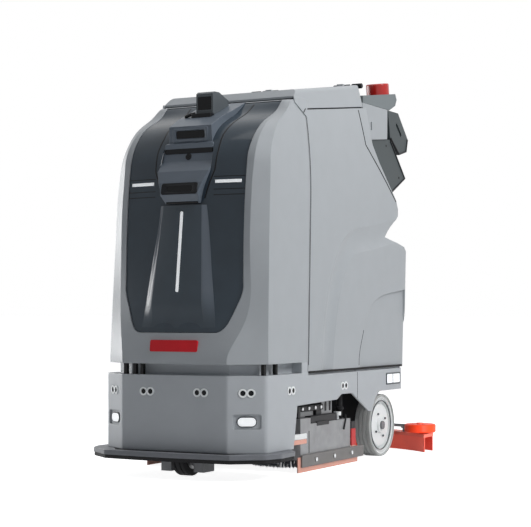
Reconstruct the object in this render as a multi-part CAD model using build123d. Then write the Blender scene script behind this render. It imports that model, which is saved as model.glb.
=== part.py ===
"""Driverless commercial floor scrubber, every piece in a file of its own.

Millimetres. The floor is z = 0, the front looks along -Y and the machine's left side is +X.
The origin lies on the floor under the middle of the machine.
"""
import os
from math import atan2, cos, sin, sqrt

from build123d import *

os.makedirs("parts", exist_ok=True)

# Overall length, from the contact bumper to the back of the squeegee
LENGTH = 1470.0
FRONT_Y = -LENGTH / 2
REAR_Y = LENGTH / 2

# Fits: a running pin in its bore, a loose gap, and the least gap between moving pieces
RUN_FIT = 0.06
FREE_FIT = 0.3
CLEAR = 2.0

# Base shell
BASE_HALF_W = 300.0
BUMPER_REACH = 62.0
SQUEEGEE_REACH = 255.0
BASE_FRONT_Y = FRONT_Y + BUMPER_REACH
BASE_REAR_Y = REAR_Y - SQUEEGEE_REACH
BASE_BOTTOM_Z = 84.0
BASE_HEIGHT = 243.0
BASE_TOP_Z = BASE_BOTTOM_Z + BASE_HEIGHT
BASE_WALL = 6.0
BASE_CORNER_R = 18.0
CHAMFER_WIDTH = 105.0
CHAMFER_DEPTH = 70.0
FRONT_FLAT_HALF_W = BASE_HALF_W - CHAMFER_WIDTH
DECK_UNDER_Z = BASE_TOP_Z - BASE_WALL

# Slot between the base and the upper body, and the thin gap that carries it on under the tank
SLOT_HEIGHT = 35.0
SLOT_DEPTH = 38.0
SLOT_END = 316.0
POST_SIZE = (11.0, 14.0)
FRONT_POSTS_X = (-185.0, -150.0, -122.0)
SIDE_POSTS = (83.0, 161.0)
SIDE_GAP = 8.0
SIDE_GAP_DEPTH = 10.0
BODY_BOTTOM_Z = BASE_TOP_Z + SLOT_HEIGHT

# Upper body: the sides rise almost upright and bend in above a height,
# the front leans back and then curves over to the lid
SIDE_INSET = 2.0
BODY_HALF_W = BASE_HALF_W - SIDE_INSET
SIDE_LEAN = 0.016
SIDE_BEND_Z = BODY_BOTTOM_Z + 540.0
SIDE_BEND_R = 1900.0
FRONT_OVERHANG = 9.0
FRONT_BOTTOM_Y = BASE_FRONT_Y - FRONT_OVERHANG
SHELL_WALL = 5.0
SHELL_TOP_Z = BODY_BOTTOM_Z + 874.0
PANEL_T = 4.0
PANEL_SINK = 3.0
PANEL_GAP = 1.0

# Front of the upper body at some heights: height above its foot, how far back the middle lies,
# how far in from the side the crease lies, how far back the crease and the side edge lie
FRONT_STATIONS = (
    (0.0, 0.0, 103.0, 9.0, 92.0),
    (99.0, 18.0, 76.0, 42.0, 95.0),
    (178.0, 30.0, 56.0, 68.0, 99.0),
    (338.0, 51.0, 55.0, 72.0, 108.0),
    (495.0, 66.0, 55.0, 77.0, 117.0),
    (584.0, 66.0, 55.0, 87.0, 125.0),
    (638.0, 72.0, 54.0, 95.0, 132.0),
    (678.0, 84.0, 53.0, 104.0, 141.0),
    (712.0, 102.0, 54.0, 122.0, 157.0),
    (762.0, 147.0, 56.0, 166.0, 192.0),
    (798.0, 207.0, 58.0, 224.0, 236.0),
    (847.0, 297.0, 61.0, 305.0, 309.0),
    (874.0, 352.0, 62.0, 357.0, 360.0),
)

# Seam between the front shell and the tank: it leans back with the height
SEAM_LEAN = 0.065
SEAM_FOOT_Y = BASE_FRONT_Y + 361.0
SEAM_GAP = 3.0

# Recovery tank and lid
TANK_OVERHANG = 23.0
TANK_REAR_Y = BASE_REAR_Y + TANK_OVERHANG
TANK_SIDE_WALL = 15.0
TANK_WALL = 9.0
TANK_CORNER_R = 10.0
TANK_MOUTH_RIM = 28.0
LID_SEAM_Z = BODY_BOTTOM_Z + 847.0
LID_SEAM_SLOPE = 0.132
LID_FRONT_Y = FRONT_BOTTOM_Y + 357.0
LID_REAR_Y = TANK_REAR_Y - 245.0
LID_FRONT_TOP_Z = BODY_BOTTOM_Z + 908.0
LID_REAR_TOP_Z = BODY_BOTTOM_Z + 1002.0
LID_BEVEL = 32.0
LID_LIP = 7.0
LID_WALL = 5.0
LID_EDGE_R = 18.0
TONGUE_T = 3.0
TONGUE_DROP = 24.0
TONGUE_LENGTH = 32.0
TONGUE_FRONT = (6.0, 9.0)
GASKET_T = 4.0
GASKET_W = 10.0
GASKET_GAP = 0.3
LID_HINGE_Y = LID_REAR_Y + 12.0
LID_HINGE_Z = LID_REAR_TOP_Z - 2.0
LID_HINGE_X = 0.5 * BASE_HALF_W
LID_PIN_R = 4.0
KNUCKLE_R = 9.0
KNUCKLE_W = 24.0
EAR_W = 18.0
EAR_GAP = 2.0
SPIGOT_R = 22.0
SPIGOT_BORE_R = 19.0
SPIGOT_LENGTH = 45.0
SPIGOT_BOSS_R = 30.0
SPIGOT_X = 110.0
SUCTION_Z = BODY_BOTTOM_Z + 328.0
DRAIN_Z = BODY_BOTTOM_Z + 18.0

# Back of the tank seen from the side: y from the tank's rear foot, z from the body's foot
TANK_TOP_REAR_Y = TANK_REAR_Y - 231.0
TANK_BACK = ((-235, 843), (-225, 779), (-183, 718), (-126, 658), (-49, 584), (-35, 553))
TANK_NOTCH = ((-37, 528), (-74, 498), (-141, 444), (17, 413))
TANK_TAIL = (42.0, 390.0)

# Soft groove and wheel-arch panel on the tank's sides, measured in the same way
VALLEY = (
    (40, 478),
    (-103, 465),
    (-296, 433),
    (-463, 402),
    (-528, 354),
    (-578, 284),
    (-623, 178),
    (-653, 63),
    (-668, -33),
)
VALLEY_R = 90.0
VALLEY_DEPTH = 11.0
ARCH = ((16, 252), (-123, 236), (-242, 212), (-320, 166), (-361, 102), (-393, 38), (-404, -35))
ARCH_DEPTH = 9.0

# Wheels
REAR_WHEEL_R = 113.5
REAR_WHEEL_SETBACK = 155.0
REAR_WHEEL_Y = BASE_REAR_Y - REAR_WHEEL_SETBACK
REAR_WHEEL_INSET = 14.0
REAR_WHEEL_OUTER_X = BASE_HALF_W - REAR_WHEEL_INSET
REAR_TYRE_W = 62.0
REAR_RIM_R = 106.0
HUB_DISH = 6.0
HUB_GROOVE = (0.72, 0.82)
AXLE_R = 10.0
AXLE_NUT_R = 15.0
AXLE_BRACKET_T = 12.0
ARCH_CLEAR = 26.0
DRIVE_WHEEL_R = 70.0
DRIVE_WHEEL_SETBACK = 88.0
DRIVE_WHEEL_Y = BASE_FRONT_Y + DRIVE_WHEEL_SETBACK
DRIVE_TYRE_W = 46.0
DRIVE_RIM_R = 48.0
DRIVE_AXLE_R = 12.0
TYRE_SHOULDER_R = 5.0
TREAD_GROOVE_W = 4.0
TREAD_GROOVE_DEPTH = 3.0

# Steering
STEER_PLATE_T = 10.0
STEER_RING_R = 78.0
STEER_SPINDLE_R = 58.0
STEER_RING_H = 20.0
STEER_MOTOR_R = 30.0
STEER_MOTOR_X = 125.0
STEER_MOTOR_H = 90.0
FORK_CHEEK = (30.0, 42.0)
FORK_HALF_L = 40.0
FORK_BOX_X = 80.0
FORK_BOX_HALF_L = 33.0
FORK_BOX_Z = (15.0, 80.0)
FORK_NECK_H = 28.0
FORK_CROWN_GAP = 15.0
FORK_BORE_END = 12.0

# Brush deck, in the middle between the wheels
BRUSH_Y = (DRIVE_WHEEL_Y + REAR_WHEEL_Y) / 2
DECK_SIDE_GAP = 12.0
DECK_HALF_W = BASE_HALF_W - DECK_SIDE_GAP
DECK_FRONT_L = 217.0
DECK_REAR_L = 170.0
DECK_Z = 150.0
DECK_T = 6.0
DECK_TOP_Z = DECK_Z + DECK_T
DECK_STEP_H = 20.0
DECK_STEP_L = 75.0
DECK_LIFT = 45.0
APRON_BOTTOM_Z = 40.0
BRUSH_SIDE_GAP = 6.0
BRUSH_MIDDLE_GAP = 8.0
BRUSH_R = (DECK_HALF_W - DECK_T - BRUSH_SIDE_GAP - BRUSH_MIDDLE_GAP / 2) / 2
BRUSH_X = BRUSH_MIDDLE_GAP / 2 + BRUSH_R
BRUSH_HOLE_R = 60.0
BRUSH_PLATE_Z = (62.0, 75.0)
BRUSH_HUB_R = 28.0
BRUSH_HUB_TOP_Z = 112.0
BRUSH_STUB_R = 10.0
GEARBOX_HALF = (76.0, 95.0)
GEARBOX_H = 46.0
BRUSH_MOTOR_R = 55.0
BRUSH_MOTOR_H = 76.0
BLADE_FLOOR_GAP = 1.0
BLADE_T = 4.0
SKIRT_T = 6.0
SKIRT_Z = (18.0, 57.0)
SKIRT_FRONT_L = 224.0
SKIRT_REAR_L = 260.0
BLADE_FRONT_L = SKIRT_FRONT_L + 18.0
BLADE_REAR_L = SKIRT_REAR_L - 38.0
BLADE_STRIP_W = 34.0
BLADE_STRIP_TOP_Z = 119.0
SKIRT_BOLT_R = 7.0
SKIRT_BOLT_H = 4.0
SKIRT_BOLT_STEP = 140.0
KNOB_R = 13.0
KNOB_STEM_R = 5.0
KNOB_Y = BRUSH_Y + 105.0
LIFT_ROD_R = 12.0
LIFT_BODY_R = 32.0
LIFT_BODY_Z = 230.0
LIFT_FOOT_R = 30.0

# Side opening of the base seen from the side: y from the brush, z from the floor
OPENING_EDGE = ((-290, 0), (-262, 222), (38, 228), (75, 245), (160, 244), (302, 173))
TOOTH_Z = 172.0
REAR_CUT_Z = 241.0

# Chassis
RAIL_X = (130.0, 170.0)
RAIL_H = 40.0
RAIL_END_GAP = 40.0
CROSS_W = 40.0
BULKHEAD_T = 6.0
BULKHEAD_Z = 64.0
STEER_CLEAR = 20.0
PLATE_GAP = 13.0
BRACKET_HALF_L = 32.0
BRACKET_DROP = 24.0
GUIDE_DROP = 12.0

# Bumper
BUMPER_TOP_Z = BASE_BOTTOM_Z - 0.5
BUMPER_PLATE_T = 14.5
BUMPER_RUBBER_T = 12.0
BUMPER_RUBBER_INSET = 3.0
BUMPER_SPREAD = 45.0
BUMPER_LENGTH = 295.0
BUMPER_NOSE_R = 30.0
BUMPER_CORNER = (37.0, 13.0)
BUMPER_OUTER = ((23.0, 83.0), (0.0, 145.0), (7.0, BUMPER_LENGTH - 40.0))
BUMPER_INNER = ((10.0, 38.0), (150.0, BUMPER_LENGTH))
BUMPER_ROD_ENDS = (35.0, 155.0)
BUMPER_ROD_X = FRONT_FLAT_HALF_W - 10.0
BUMPER_ROD_R = 6.0
BUMPER_ROD_Z = BUMPER_TOP_Z - BUMPER_PLATE_T / 2
GUIDE_HALF_W = 11.0
GUIDE_Y = (FRONT_Y + 109.0, FRONT_Y + 135.0)

# Rear squeegee: both blades lie on arcs about one centre
SQUEEGEE_HALF_W = 372.0
SQUEEGEE_BODY_R = 608.5
SQUEEGEE_DEPTH = 71.5
SQUEEGEE_INNER_R = SQUEEGEE_BODY_R - SQUEEGEE_DEPTH
SQUEEGEE_CENTRE_Y = REAR_Y - SQUEEGEE_BODY_R
SQUEEGEE_Z = 56.0
SQUEEGEE_T = 12.0
SQUEEGEE_TOP_Z = SQUEEGEE_Z + SQUEEGEE_T
SQUEEGEE_BLADE_INSET = 3.0
ROLLER_R = 59.0
ROLLER_INSET = 41.0
ROLLER_X = SQUEEGEE_HALF_W - ROLLER_INSET
ROLLER_PATH_R = SQUEEGEE_BODY_R - 49.5
ROLLER_Y = SQUEEGEE_CENTRE_Y + sqrt(ROLLER_PATH_R**2 - ROLLER_X**2)
ROLLER_H = 32.0
ROLLER_EDGE_R = 6.0
ROLLER_PIN_R = 8.0
ROLLER_COLLAR_R = 14.0
ROLLER_COLLAR_H = 3.0
SUCTION_Y = REAR_Y - 33.0
KINGPIN_Y = SQUEEGEE_CENTRE_Y + SQUEEGEE_INNER_R - 38.5
KINGPIN_R = 10.0
KINGPIN_H = 36.0
TAB_HALF_W = 70.0
TAB_Y = (KINGPIN_Y - 30.0, KINGPIN_Y + 60.0)
ARM_PIN_R = 8.0
ARM_PIN_Y = BASE_REAR_Y - 40.0
ARM_PIN_Z = REAR_CUT_Z - 1.0
ARM_HALF_W = 34.0
ARM_WALL = 8.0
ARM_BOSS_R = 16.0
ARM_END_H = 30.0
ARM_END_Y = (KINGPIN_Y - 30.0, KINGPIN_Y + 24.0)
ARM_TOP = (14.0, 2.0)
ARM_FOOT = (-4.0, -15.0)
ARM_HEEL = 6.0
LUG_X = (40.0, 52.0)
LUG_HALF_L = 16.0

# Console at the rear seen from the side: y from the tank's rear foot, z from the body's foot
CONSOLE_INSET = 69.0
CONSOLE_HALF_W = BASE_HALF_W - CONSOLE_INSET
CONSOLE_WALL = 6.0
CONSOLE_SEAM = 5.0
CONSOLE_CORE_INSET = 14.0
BOX_HALF_W = CONSOLE_HALF_W - 6.0
BOX = ((-156, 808), (33, 828), (187, 688), (39, 616), (5, 619))
BOX_POCKET = ((-164, 799), (28, 819), (174, 689), (38, 625), (-8, 628))
DISPLAY_HALF_W = CONSOLE_HALF_W - 6.0
DISPLAY = ((20, 939), (118, 939), (214, 846), (197, 794), (126, 777), (41, 834))
DISPLAY_POCKET = ((10, 930), (113, 930), (203, 843), (188, 801), (128, 787), (36, 846))
COLUMN_TOP = ((-231, 938), (2, 938), (-2, 825))
COLUMN_POCKET = ((-200, 939), (-10, 939), (-12, 834), (-158, 818), (-185, 790), (-200, 830))
NECK = ((-3, 938), (20, 939), (41, 834), (33, 829), (-2, 825))
NECK_HALF_W = CONSOLE_HALF_W - 41.0
COLUMN_SLOT = ((-155, -143), (845, 875))
HAND_SLOT = ((98, 895), (148, 853))
HAND_SLOT_W = 15.0
HAND_SLOT_DEPTH = 7.0
HOOD = ((-225, 938), (-225, 965), (77, 1009), (91, 988), (76, 963), (20, 939))
HOOD_POCKET = ((-219, 937), (-219, 959), (70, 1001), (82, 984), (70, 967), (14, 938))
SCREEN_HALF_W = 115.0
SCREEN_HALF_H = 54.0
SCREEN_T = 5.0
SCREEN_SINK = 1.0
BUTTON_X = DISPLAY_HALF_W - 60.0
ESTOP_Y = -26.0
ESTOP_R = 20.0
ESTOP_STEM_R = 11.0
ESTOP_CAP_H = 12.0
ESTOP_TRAVEL = 4.0
POWER_Y = 28.0
POWER_R = 9.0
POWER_TRAVEL = 2.0
BUTTON_STEM = 7.0
BEACON_R = 44.0
BEACON_H = 43.0
BEACON_X = CONSOLE_HALF_W - 51.0
BEACON_Y = TANK_REAR_Y + 27.0

# Sensors, lamps and trim of the base
SENSOR_RING_R = 14.0
SENSOR_CORE_R = 8.5
SENSOR_PAIR_GAP = 26.0
SENSOR_FRONT_X = 0.513 * FRONT_FLAT_HALF_W
SENSOR_SIDE_Y = (BASE_FRONT_Y + 236.0, BRUSH_Y + 95.0)
SENSOR_Z = BASE_TOP_Z - 54.0
SENSOR_RING_RISE = 2.0
SENSOR_CORE_RISE = 0.5
SENSOR_CORE_L = 14.0
LAMP_W = 104.0
LAMP_H = 60.0
LAMP_EDGE = 7.0
LAMP_LENS_W = 58.0
LAMP_LENS_H = 27.0
LAMP_Z = BASE_BOTTOM_Z + 99.0
SIDE_LAMP_Y = (REAR_WHEEL_Y + 5.0, REAR_WHEEL_Y + 125.0)
SIDE_LAMP_Z = (BASE_TOP_Z - 61.0, BASE_TOP_Z - 27.0)
SIDE_LAMP_RISE = 2.0

# Fascia seen from the front: x from the body's side, z from the body's foot
FASCIA_CORNER = ((154, 99), (131, 111), (107, 153), (92, 190), (82, 216), (77, 259))
FASCIA_TOP = ((77, 678), (74, 762), (74, 868))
NAMEPLATE_HALF_W = 88.0
NAMEPLATE_Z = (39.0, 76.0)
NAMEPLATE_CORNER_R = 5.0
KEEL = ((122, 124), (80, 506))
KEEL_LEAN = 0.1152
KEEL_RISE = -2.0
KEEL_BACK = 44.0
KEEL_TAPER = 30.0
STRIP_RISE = 2.0
UPRIGHT_STRIP_W = 10.0
UPRIGHT_STRIP_Z = (230.0, 490.0)
LEVEL_STRIP_X = (116.0, 206.0)
LEVEL_STRIP_Z = (579.0, 589.0)

# Sensor pod: front view (x, z) and side view (y, z) from the middle of the body's foot
POD_OUTLINE = (
    (64, 516),
    (74, 563),
    (84, 588),
    (96, 621),
    (98, 648),
    (96, 686),
    (92, 700),
    (90, 713),
    (82, 721),
    (80, 772),
    (80, 806),
    (84, 871),
)
POD_PROFILE = (
    (82, 516),
    (62, 516),
    (37, 543),
    (46, 583),
    (64, 621),
    (83, 642),
    (96, 656),
    (102, 686),
    (120, 688),
    (120, 694),
    (98, 698),
    (102, 714),
    (111, 719),
    (108, 772),
    (172, 806),
    (242, 833),
    (337, 874),
    (350, 874),
    (337, 843),
    (257, 788),
    (182, 688),
    (122, 588),
    (92, 516),
)
CHIN_WINDOW = (104.0, 27.0)
CHIN_CENTRE = (41.0, 563.0)
CHIN_FACING = (-40.0, 9.0)
BROW_WINDOW = (116.0, 36.0)
BROW_CENTRE = (109.5, 745.0)
BROW_FACING = (-53.0, -3.0)
LENS_R = 6.0
LENS_CENTRE = (99.0, 671.0)
LENS_FACING = (-30.0, 6.0)
WINDOW_CORNER_R = 5.0
WINDOW_DEPTH = 6.0
WINDOW_T = 4.0
TOP_SENSOR_HALF_W = 32.0
TOP_SENSOR = ((201, 798), (201, 890), (212, 897), (242, 898), (306, 878), (306, 843))
TOP_PANE_HALF_W = 26.0
TOP_PANE_Z = (836.0, 880.0)

# Things inside the front shell, stacked on its floor
STACK_REAR_Y = SEAM_FOOT_Y - 18.0
BATTERY_HALF_W = FRONT_FLAT_HALF_W + 5.0
BATTERY_L = 260.0
BATTERY_TOP_Z = BODY_BOTTOM_Z + 186.0
HANDLE_H = 12.0
HANDLE_HALF_W = 60.0
WATER_HALF_W = FRONT_FLAT_HALF_W - 5.0
WATER_L = 245.0
WATER_TOP_Z = BODY_BOTTOM_Z + 488.0
WATER_WALL = 5.0
FILL_NECK_R = 35.0
FILL_NECK_H = 30.0
CONTROL_X = (-60.0, 165.0)
CONTROL_L = 205.0
CONTROL_H = 100.0
FIN_H = 12.0
FIN_T = 6.0
FIN_STEP = 32.0
FIN_COUNT = 6
VACUUM_X = 40.0
VACUUM_R = 72.0
VACUUM_H = 48.0
VACUUM_TOP_R = 55.0
VACUUM_TOP_H = 75.0


def block(x, y, z):
    """Box between two corners, given as (low, high) on each axis."""
    size = [high - low for low, high in (x, y, z)]
    middle = [(high + low) / 2 for low, high in (x, y, z)]
    return Pos(*middle) * Box(*size)


def rod_x(r, x, y, z):
    """Round bar along X between the two x values."""
    return Pos((x[0] + x[1]) / 2, y, z) * Rot(0, 90, 0) * Cylinder(r, x[1] - x[0])


def rod_y(r, x, y, z):
    """Round bar along Y between the two y values."""
    return Pos(x, (y[0] + y[1]) / 2, z) * Rot(90, 0, 0) * Cylinder(r, y[1] - y[0])


def rod_z(r, x, y, z):
    """Round bar along Z between the two z values."""
    return Pos(x, y, (z[0] + z[1]) / 2) * Cylinder(r, z[1] - z[0])


def side_view(points, half_width):
    """Solid with the given (y, z) side view, as wide as twice half_width."""
    face = Plane.YZ * make_face(Polyline(*points, close=True))
    return extrude(face, half_width, both=True)


def both_sides(shape):
    """The shape and its mirror image on the other side."""
    return shape + mirror(shape, about=Plane.YZ)


def on_wall(x, y, z, nx, ny):
    """Plane on an upright wall, facing along (nx, ny)."""
    return Plane(origin=(x, y, z), x_dir=(-ny, nx, 0), z_dir=(nx, ny, 0))


def slab(plane, width, height, depth, corner):
    """Plate with round corners on a plane, between two depths along its normal."""
    face = plane.offset(depth[0]) * RectangleRounded(width, height, corner)
    return extrude(face, depth[1] - depth[0], dir=plane.z_dir)


def disc(plane, r, depth):
    """Round plate on a plane, between two depths along its normal."""
    return extrude(plane.offset(depth[0]) * Circle(r), depth[1] - depth[0], dir=plane.z_dir)


def at_rear(points):
    """Side-view points of the rear, moved from the tank's rear foot to the machine's frame."""
    return [(TANK_REAR_Y + y, BODY_BOTTOM_Z + z) for y, z in points]


def at_front(points):
    """Side-view points of the front, moved from the body's front foot to the machine's frame."""
    return [(FRONT_BOTTOM_Y + y, BODY_BOTTOM_Z + z) for y, z in points]


def save(name, shape):
    """Write one node."""
    export_step(shape, f"parts/{name}.step")


# Shapes shared by several pieces


def side_x(z):
    """Half width of the upper body at a height."""
    over = max(0.0, z - SIDE_BEND_Z)
    bend = SIDE_BEND_R - sqrt(SIDE_BEND_R**2 - over**2)
    return BODY_HALF_W - SIDE_LEAN * (z - BODY_BOTTOM_Z) - bend


def seam_y(z):
    """Seam between the front shell and the tank at a height."""
    return SEAM_FOOT_Y + SEAM_LEAN * (z - BODY_BOTTOM_Z)


def seam_z(y):
    """Height of the seam under the lid."""
    return LID_SEAM_Z + LID_SEAM_SLOPE * (y - seam_y(LID_SEAM_Z))


def front_section(station, inset, grow_rear):
    """Level section of the front shell, drawn inset from its outer face."""
    rise, back, crease_in, crease_back, side_back = station
    z = BODY_BOTTOM_Z + rise
    front = FRONT_BOTTOM_Y + inset
    rear = seam_y(z) - SEAM_GAP / 2 + grow_rear
    half = side_x(z) - inset
    crease = (BODY_HALF_W - crease_in - inset, front + crease_back)
    side = (half, front + side_back)
    arc = ThreePointArc((-crease[0], crease[1]), (0, front + back), crease)
    rest = Polyline(crease, side, (half, rear), (-half, rear), (-half, side[1]), (-crease[0], crease[1]))
    return Pos(0, 0, z) * make_face([arc, *rest.edges()])


def front_body(inset, grow_rear=0.0, stations=FRONT_STATIONS):
    """Solid of the front shell's outer form, inset by a distance."""
    return loft([front_section(station, inset, grow_rear) for station in stations])


def drafted(grow):
    """Long prism between the body's sides, grown outward by a distance."""
    top = LID_REAR_TOP_Z + BASE_HEIGHT
    heights = (BASE_BOTTOM_Z, SIDE_BEND_Z, (SIDE_BEND_Z + top) / 2, top)
    foot, bend, middle, head = [(side_x(z) + grow, z) for z in heights]
    right = [Line(foot, bend), ThreePointArc(bend, middle, head)]
    left = [mirror(edge, about=Plane.YZ) for edge in right]
    closing = [Line(foot, (-foot[0], foot[1])), Line(head, (-head[0], head[1]))]
    return extrude(Plane.XZ * make_face([*right, *left, *closing]), LENGTH, both=True)


def base_outline(inset):
    """Plan of the base, drawn in by a distance."""
    corner = BASE_FRONT_Y + CHAMFER_DEPTH
    right = ((FRONT_FLAT_HALF_W, BASE_FRONT_Y), (BASE_HALF_W, corner), (BASE_HALF_W, BASE_REAR_Y))
    left = [(-x, y) for x, y in reversed(right)]
    face = make_face(Polyline(*right, *left, close=True))
    if inset:
        face = offset(face, amount=-inset, kind=Kind.INTERSECTION)
    if inset < BASE_CORNER_R:
        face = fillet(face.vertices(), BASE_CORNER_R - inset)
    return face


CHAMFER_NORMAL = Vector(CHAMFER_DEPTH, -CHAMFER_WIDTH).normalized()
CHAMFER_MIDDLE = (BASE_HALF_W - CHAMFER_WIDTH / 2, BASE_FRONT_Y + CHAMFER_DEPTH / 2)


def sensor_pairs():
    """Where the pairs of ultrasonic sensors sit on the base, each facing outward."""
    nx, ny = CHAMFER_NORMAL.X, CHAMFER_NORMAL.Y
    x, y = CHAMFER_MIDDLE
    steps = (-SENSOR_PAIR_GAP / 2, SENSOR_PAIR_GAP / 2)
    pairs = []
    for side in (-1, 1):
        middle = side * SENSOR_FRONT_X
        pairs.append([on_wall(middle + step, BASE_FRONT_Y, SENSOR_Z, 0, -1) for step in steps])
        pairs.append(
            [on_wall(side * (x - ny * step), y + nx * step, SENSOR_Z, side * nx, ny) for step in steps]
        )
        for middle in SENSOR_SIDE_Y:
            pairs.append([on_wall(side * BASE_HALF_W, middle + step, SENSOR_Z, side, 0) for step in steps])
    return pairs


def lamp_planes():
    """Where the two corner lamps sit on the chamfers of the base."""
    x, y = CHAMFER_MIDDLE
    nx, ny = CHAMFER_NORMAL.X, CHAMFER_NORMAL.Y
    return [on_wall(side * x, y, LAMP_Z, side * nx, ny) for side in (-1, 1)]


# Base


def side_opening():
    """Side view of the opening over the brush deck and the rear wheel, as one face."""
    arch_r = REAR_WHEEL_R + ARCH_CLEAR
    below = BASE_BOTTOM_Z - CLEAR
    behind = BASE_REAR_Y + CLEAR

    def arch(z):
        return (REAR_WHEEL_Y - sqrt(arch_r**2 - (z - REAR_WHEEL_R) ** 2), z)

    points = [(BRUSH_Y + y, max(z, below)) for y, z in OPENING_EDGE]
    front_edge = Polyline(*points, arch(TOOTH_Z))
    wheel_edge = ThreePointArc(arch(TOOTH_Z), arch((TOOTH_Z + REAR_CUT_Z) / 2), arch(REAR_CUT_Z))
    rear_edge = Polyline(arch(REAR_CUT_Z), (behind, REAR_CUT_Z), (behind, below), points[0])
    return make_face([*front_edge.edges(), wheel_edge, *rear_edge.edges()])


def base_shell():
    """Skirt with its top deck, side openings and the plinth that carries the upper body."""
    shell = extrude(Pos(0, 0, BASE_BOTTOM_Z) * base_outline(0), BASE_HEIGHT)
    shell -= extrude(Pos(0, 0, BASE_BOTTOM_Z) * base_outline(BASE_WALL), BASE_HEIGHT - BASE_WALL)
    gap_z = BASE_TOP_Z - SIDE_GAP
    rail_x = (BASE_HALF_W - 2 * SIDE_GAP_DEPTH, BASE_HALF_W - BASE_WALL)
    tank_y = (SEAM_FOOT_Y, BASE_REAR_Y - BASE_WALL)
    shell += both_sides(block(rail_x, tank_y, (gap_z - SIDE_GAP_DEPTH, DECK_UNDER_Z)))
    shell -= extrude(Plane.YZ * side_opening(), BASE_HALF_W + CLEAR, both=True)
    gap_x = (BASE_HALF_W - SIDE_GAP_DEPTH, BASE_HALF_W + CLEAR)
    shell -= both_sides(block(gap_x, (SEAM_FOOT_Y, BASE_REAR_Y + CLEAR), (gap_z, BASE_TOP_Z)))
    plinth_y = (BASE_FRONT_Y, SEAM_FOOT_Y - CLEAR)
    plinth_z = (BASE_TOP_Z, BODY_BOTTOM_Z)
    plinth = extrude(Pos(0, 0, BASE_TOP_Z) * base_outline(SLOT_DEPTH), SLOT_HEIGHT)
    shell += plinth & block((-BASE_HALF_W, BASE_HALF_W), plinth_y, plinth_z)
    end_y = (BASE_FRONT_Y + SLOT_END, SEAM_FOOT_Y - CLEAR)
    shell += both_sides(block((BASE_HALF_W - SLOT_DEPTH - CLEAR, BODY_HALF_W), end_y, plinth_z))
    hollow = extrude(Pos(0, 0, DECK_UNDER_Z) * base_outline(SLOT_DEPTH + BASE_WALL), SLOT_HEIGHT)
    hollow_y = (BASE_FRONT_Y, SEAM_FOOT_Y - CLEAR - BASE_WALL)
    shell -= hollow & block((-BASE_HALF_W, BASE_HALF_W), hollow_y, (DECK_UNDER_Z, BODY_BOTTOM_Z))
    for pair in sensor_pairs():
        for plane in pair:
            shell -= disc(plane, SENSOR_RING_R, (-BASE_WALL - 1, 1))
    for plane in lamp_planes():
        shell += slab(plane, LAMP_W, LAMP_H, (-2 * BASE_WALL, -BASE_WALL), 12)
        shell -= slab(plane, LAMP_W - 2 * LAMP_EDGE, LAMP_H - 2 * LAMP_EDGE, (-BASE_WALL, 1), 8)
        shell -= lamp_lens(plane, 1)
    return shell - both_sides(side_lamp())


def lamp_lens(plane, top):
    """Lens of a corner lamp, a capsule let into its surround."""
    corner = LAMP_LENS_H / 2 - 0.5
    return slab(plane, LAMP_LENS_W, LAMP_LENS_H, (-2 * BASE_WALL, top), corner)


def side_lamp():
    """Lamp bar let into the rear of the base's side."""
    x = (BASE_HALF_W - BASE_WALL, BASE_HALF_W + SIDE_LAMP_RISE)
    return block(x, SIDE_LAMP_Y, SIDE_LAMP_Z)


def sensor_rings():
    """Light bezels of the ultrasonic sensors, one round each pair."""
    rings = []
    depth = (-BASE_WALL, SENSOR_RING_RISE)
    for first, second in sensor_pairs():
        ring = disc(first, SENSOR_RING_R, depth) + disc(second, SENSOR_RING_R, depth)
        rings.append(ring - disc(first, SENSOR_CORE_R, depth) - disc(second, SENSOR_CORE_R, depth))
    return Compound(children=rings)


def sensor_cores():
    """Black faces of the ultrasonic sensors."""
    depth = (-SENSOR_CORE_L, SENSOR_CORE_RISE)
    return Compound(children=[disc(plane, SENSOR_CORE_R, depth) for pair in sensor_pairs() for plane in pair])


def lamp_lenses():
    """White lenses of the corner lamps and of the rear side lamps."""
    lenses = [lamp_lens(plane, -CLEAR) for plane in lamp_planes()]
    return Compound(children=[*lenses, *both_sides(side_lamp()).solids()])


def slot_posts():
    """Black posts in the slot, three at the front and two on the left side."""
    half_w, half_l = POST_SIZE[0] / 2, POST_SIZE[1] / 2
    z = (BASE_TOP_Z, BODY_BOTTOM_Z)
    front = (BASE_FRONT_Y + CLEAR, BASE_FRONT_Y + CLEAR + POST_SIZE[1])
    side = (BASE_HALF_W - SLOT_DEPTH / 2 - half_w, BASE_HALF_W - SLOT_DEPTH / 2 + half_w)
    posts = [block((x - half_w, x + half_w), front, z) for x in FRONT_POSTS_X]
    for back in SIDE_POSTS:
        y = BASE_FRONT_Y + back
        posts.append(block(side, (y - half_l, y + half_l), z))
    return Compound(children=posts)


def bumper_band(z, inset):
    """Band round the foot of the base between two heights."""
    front = FRONT_Y + inset
    corner = (FRONT_FLAT_HALF_W + BUMPER_CORNER[0] - inset / 2, front + BUMPER_CORNER[1])
    arc = ThreePointArc((-corner[0], corner[1]), (0, front), corner)
    outer = BASE_HALF_W + BUMPER_SPREAD - inset
    inner = BASE_HALF_W - 2 * BASE_WALL
    inner_corner, inner_ends = BUMPER_INNER
    right = (
        corner,
        *[(outer - x, FRONT_Y + y) for x, y in BUMPER_OUTER],
        (BASE_HALF_W + CLEAR, FRONT_Y + BUMPER_LENGTH),
        *[(inner, FRONT_Y + y) for y in reversed(inner_ends)],
        (FRONT_FLAT_HALF_W + inner_corner[0], FRONT_Y + inner_corner[1]),
    )
    left = [(-px, py) for px, py in reversed(right)]
    face = make_face([arc, *Polyline(*right, *left).edges()])
    noses = [v for v in face.vertices() if abs(v.X) > BASE_HALF_W + 2 * CLEAR]
    face = fillet(noses, BUMPER_NOSE_R)
    return extrude(Pos(0, 0, z[0]) * face, z[1] - z[0])


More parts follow.
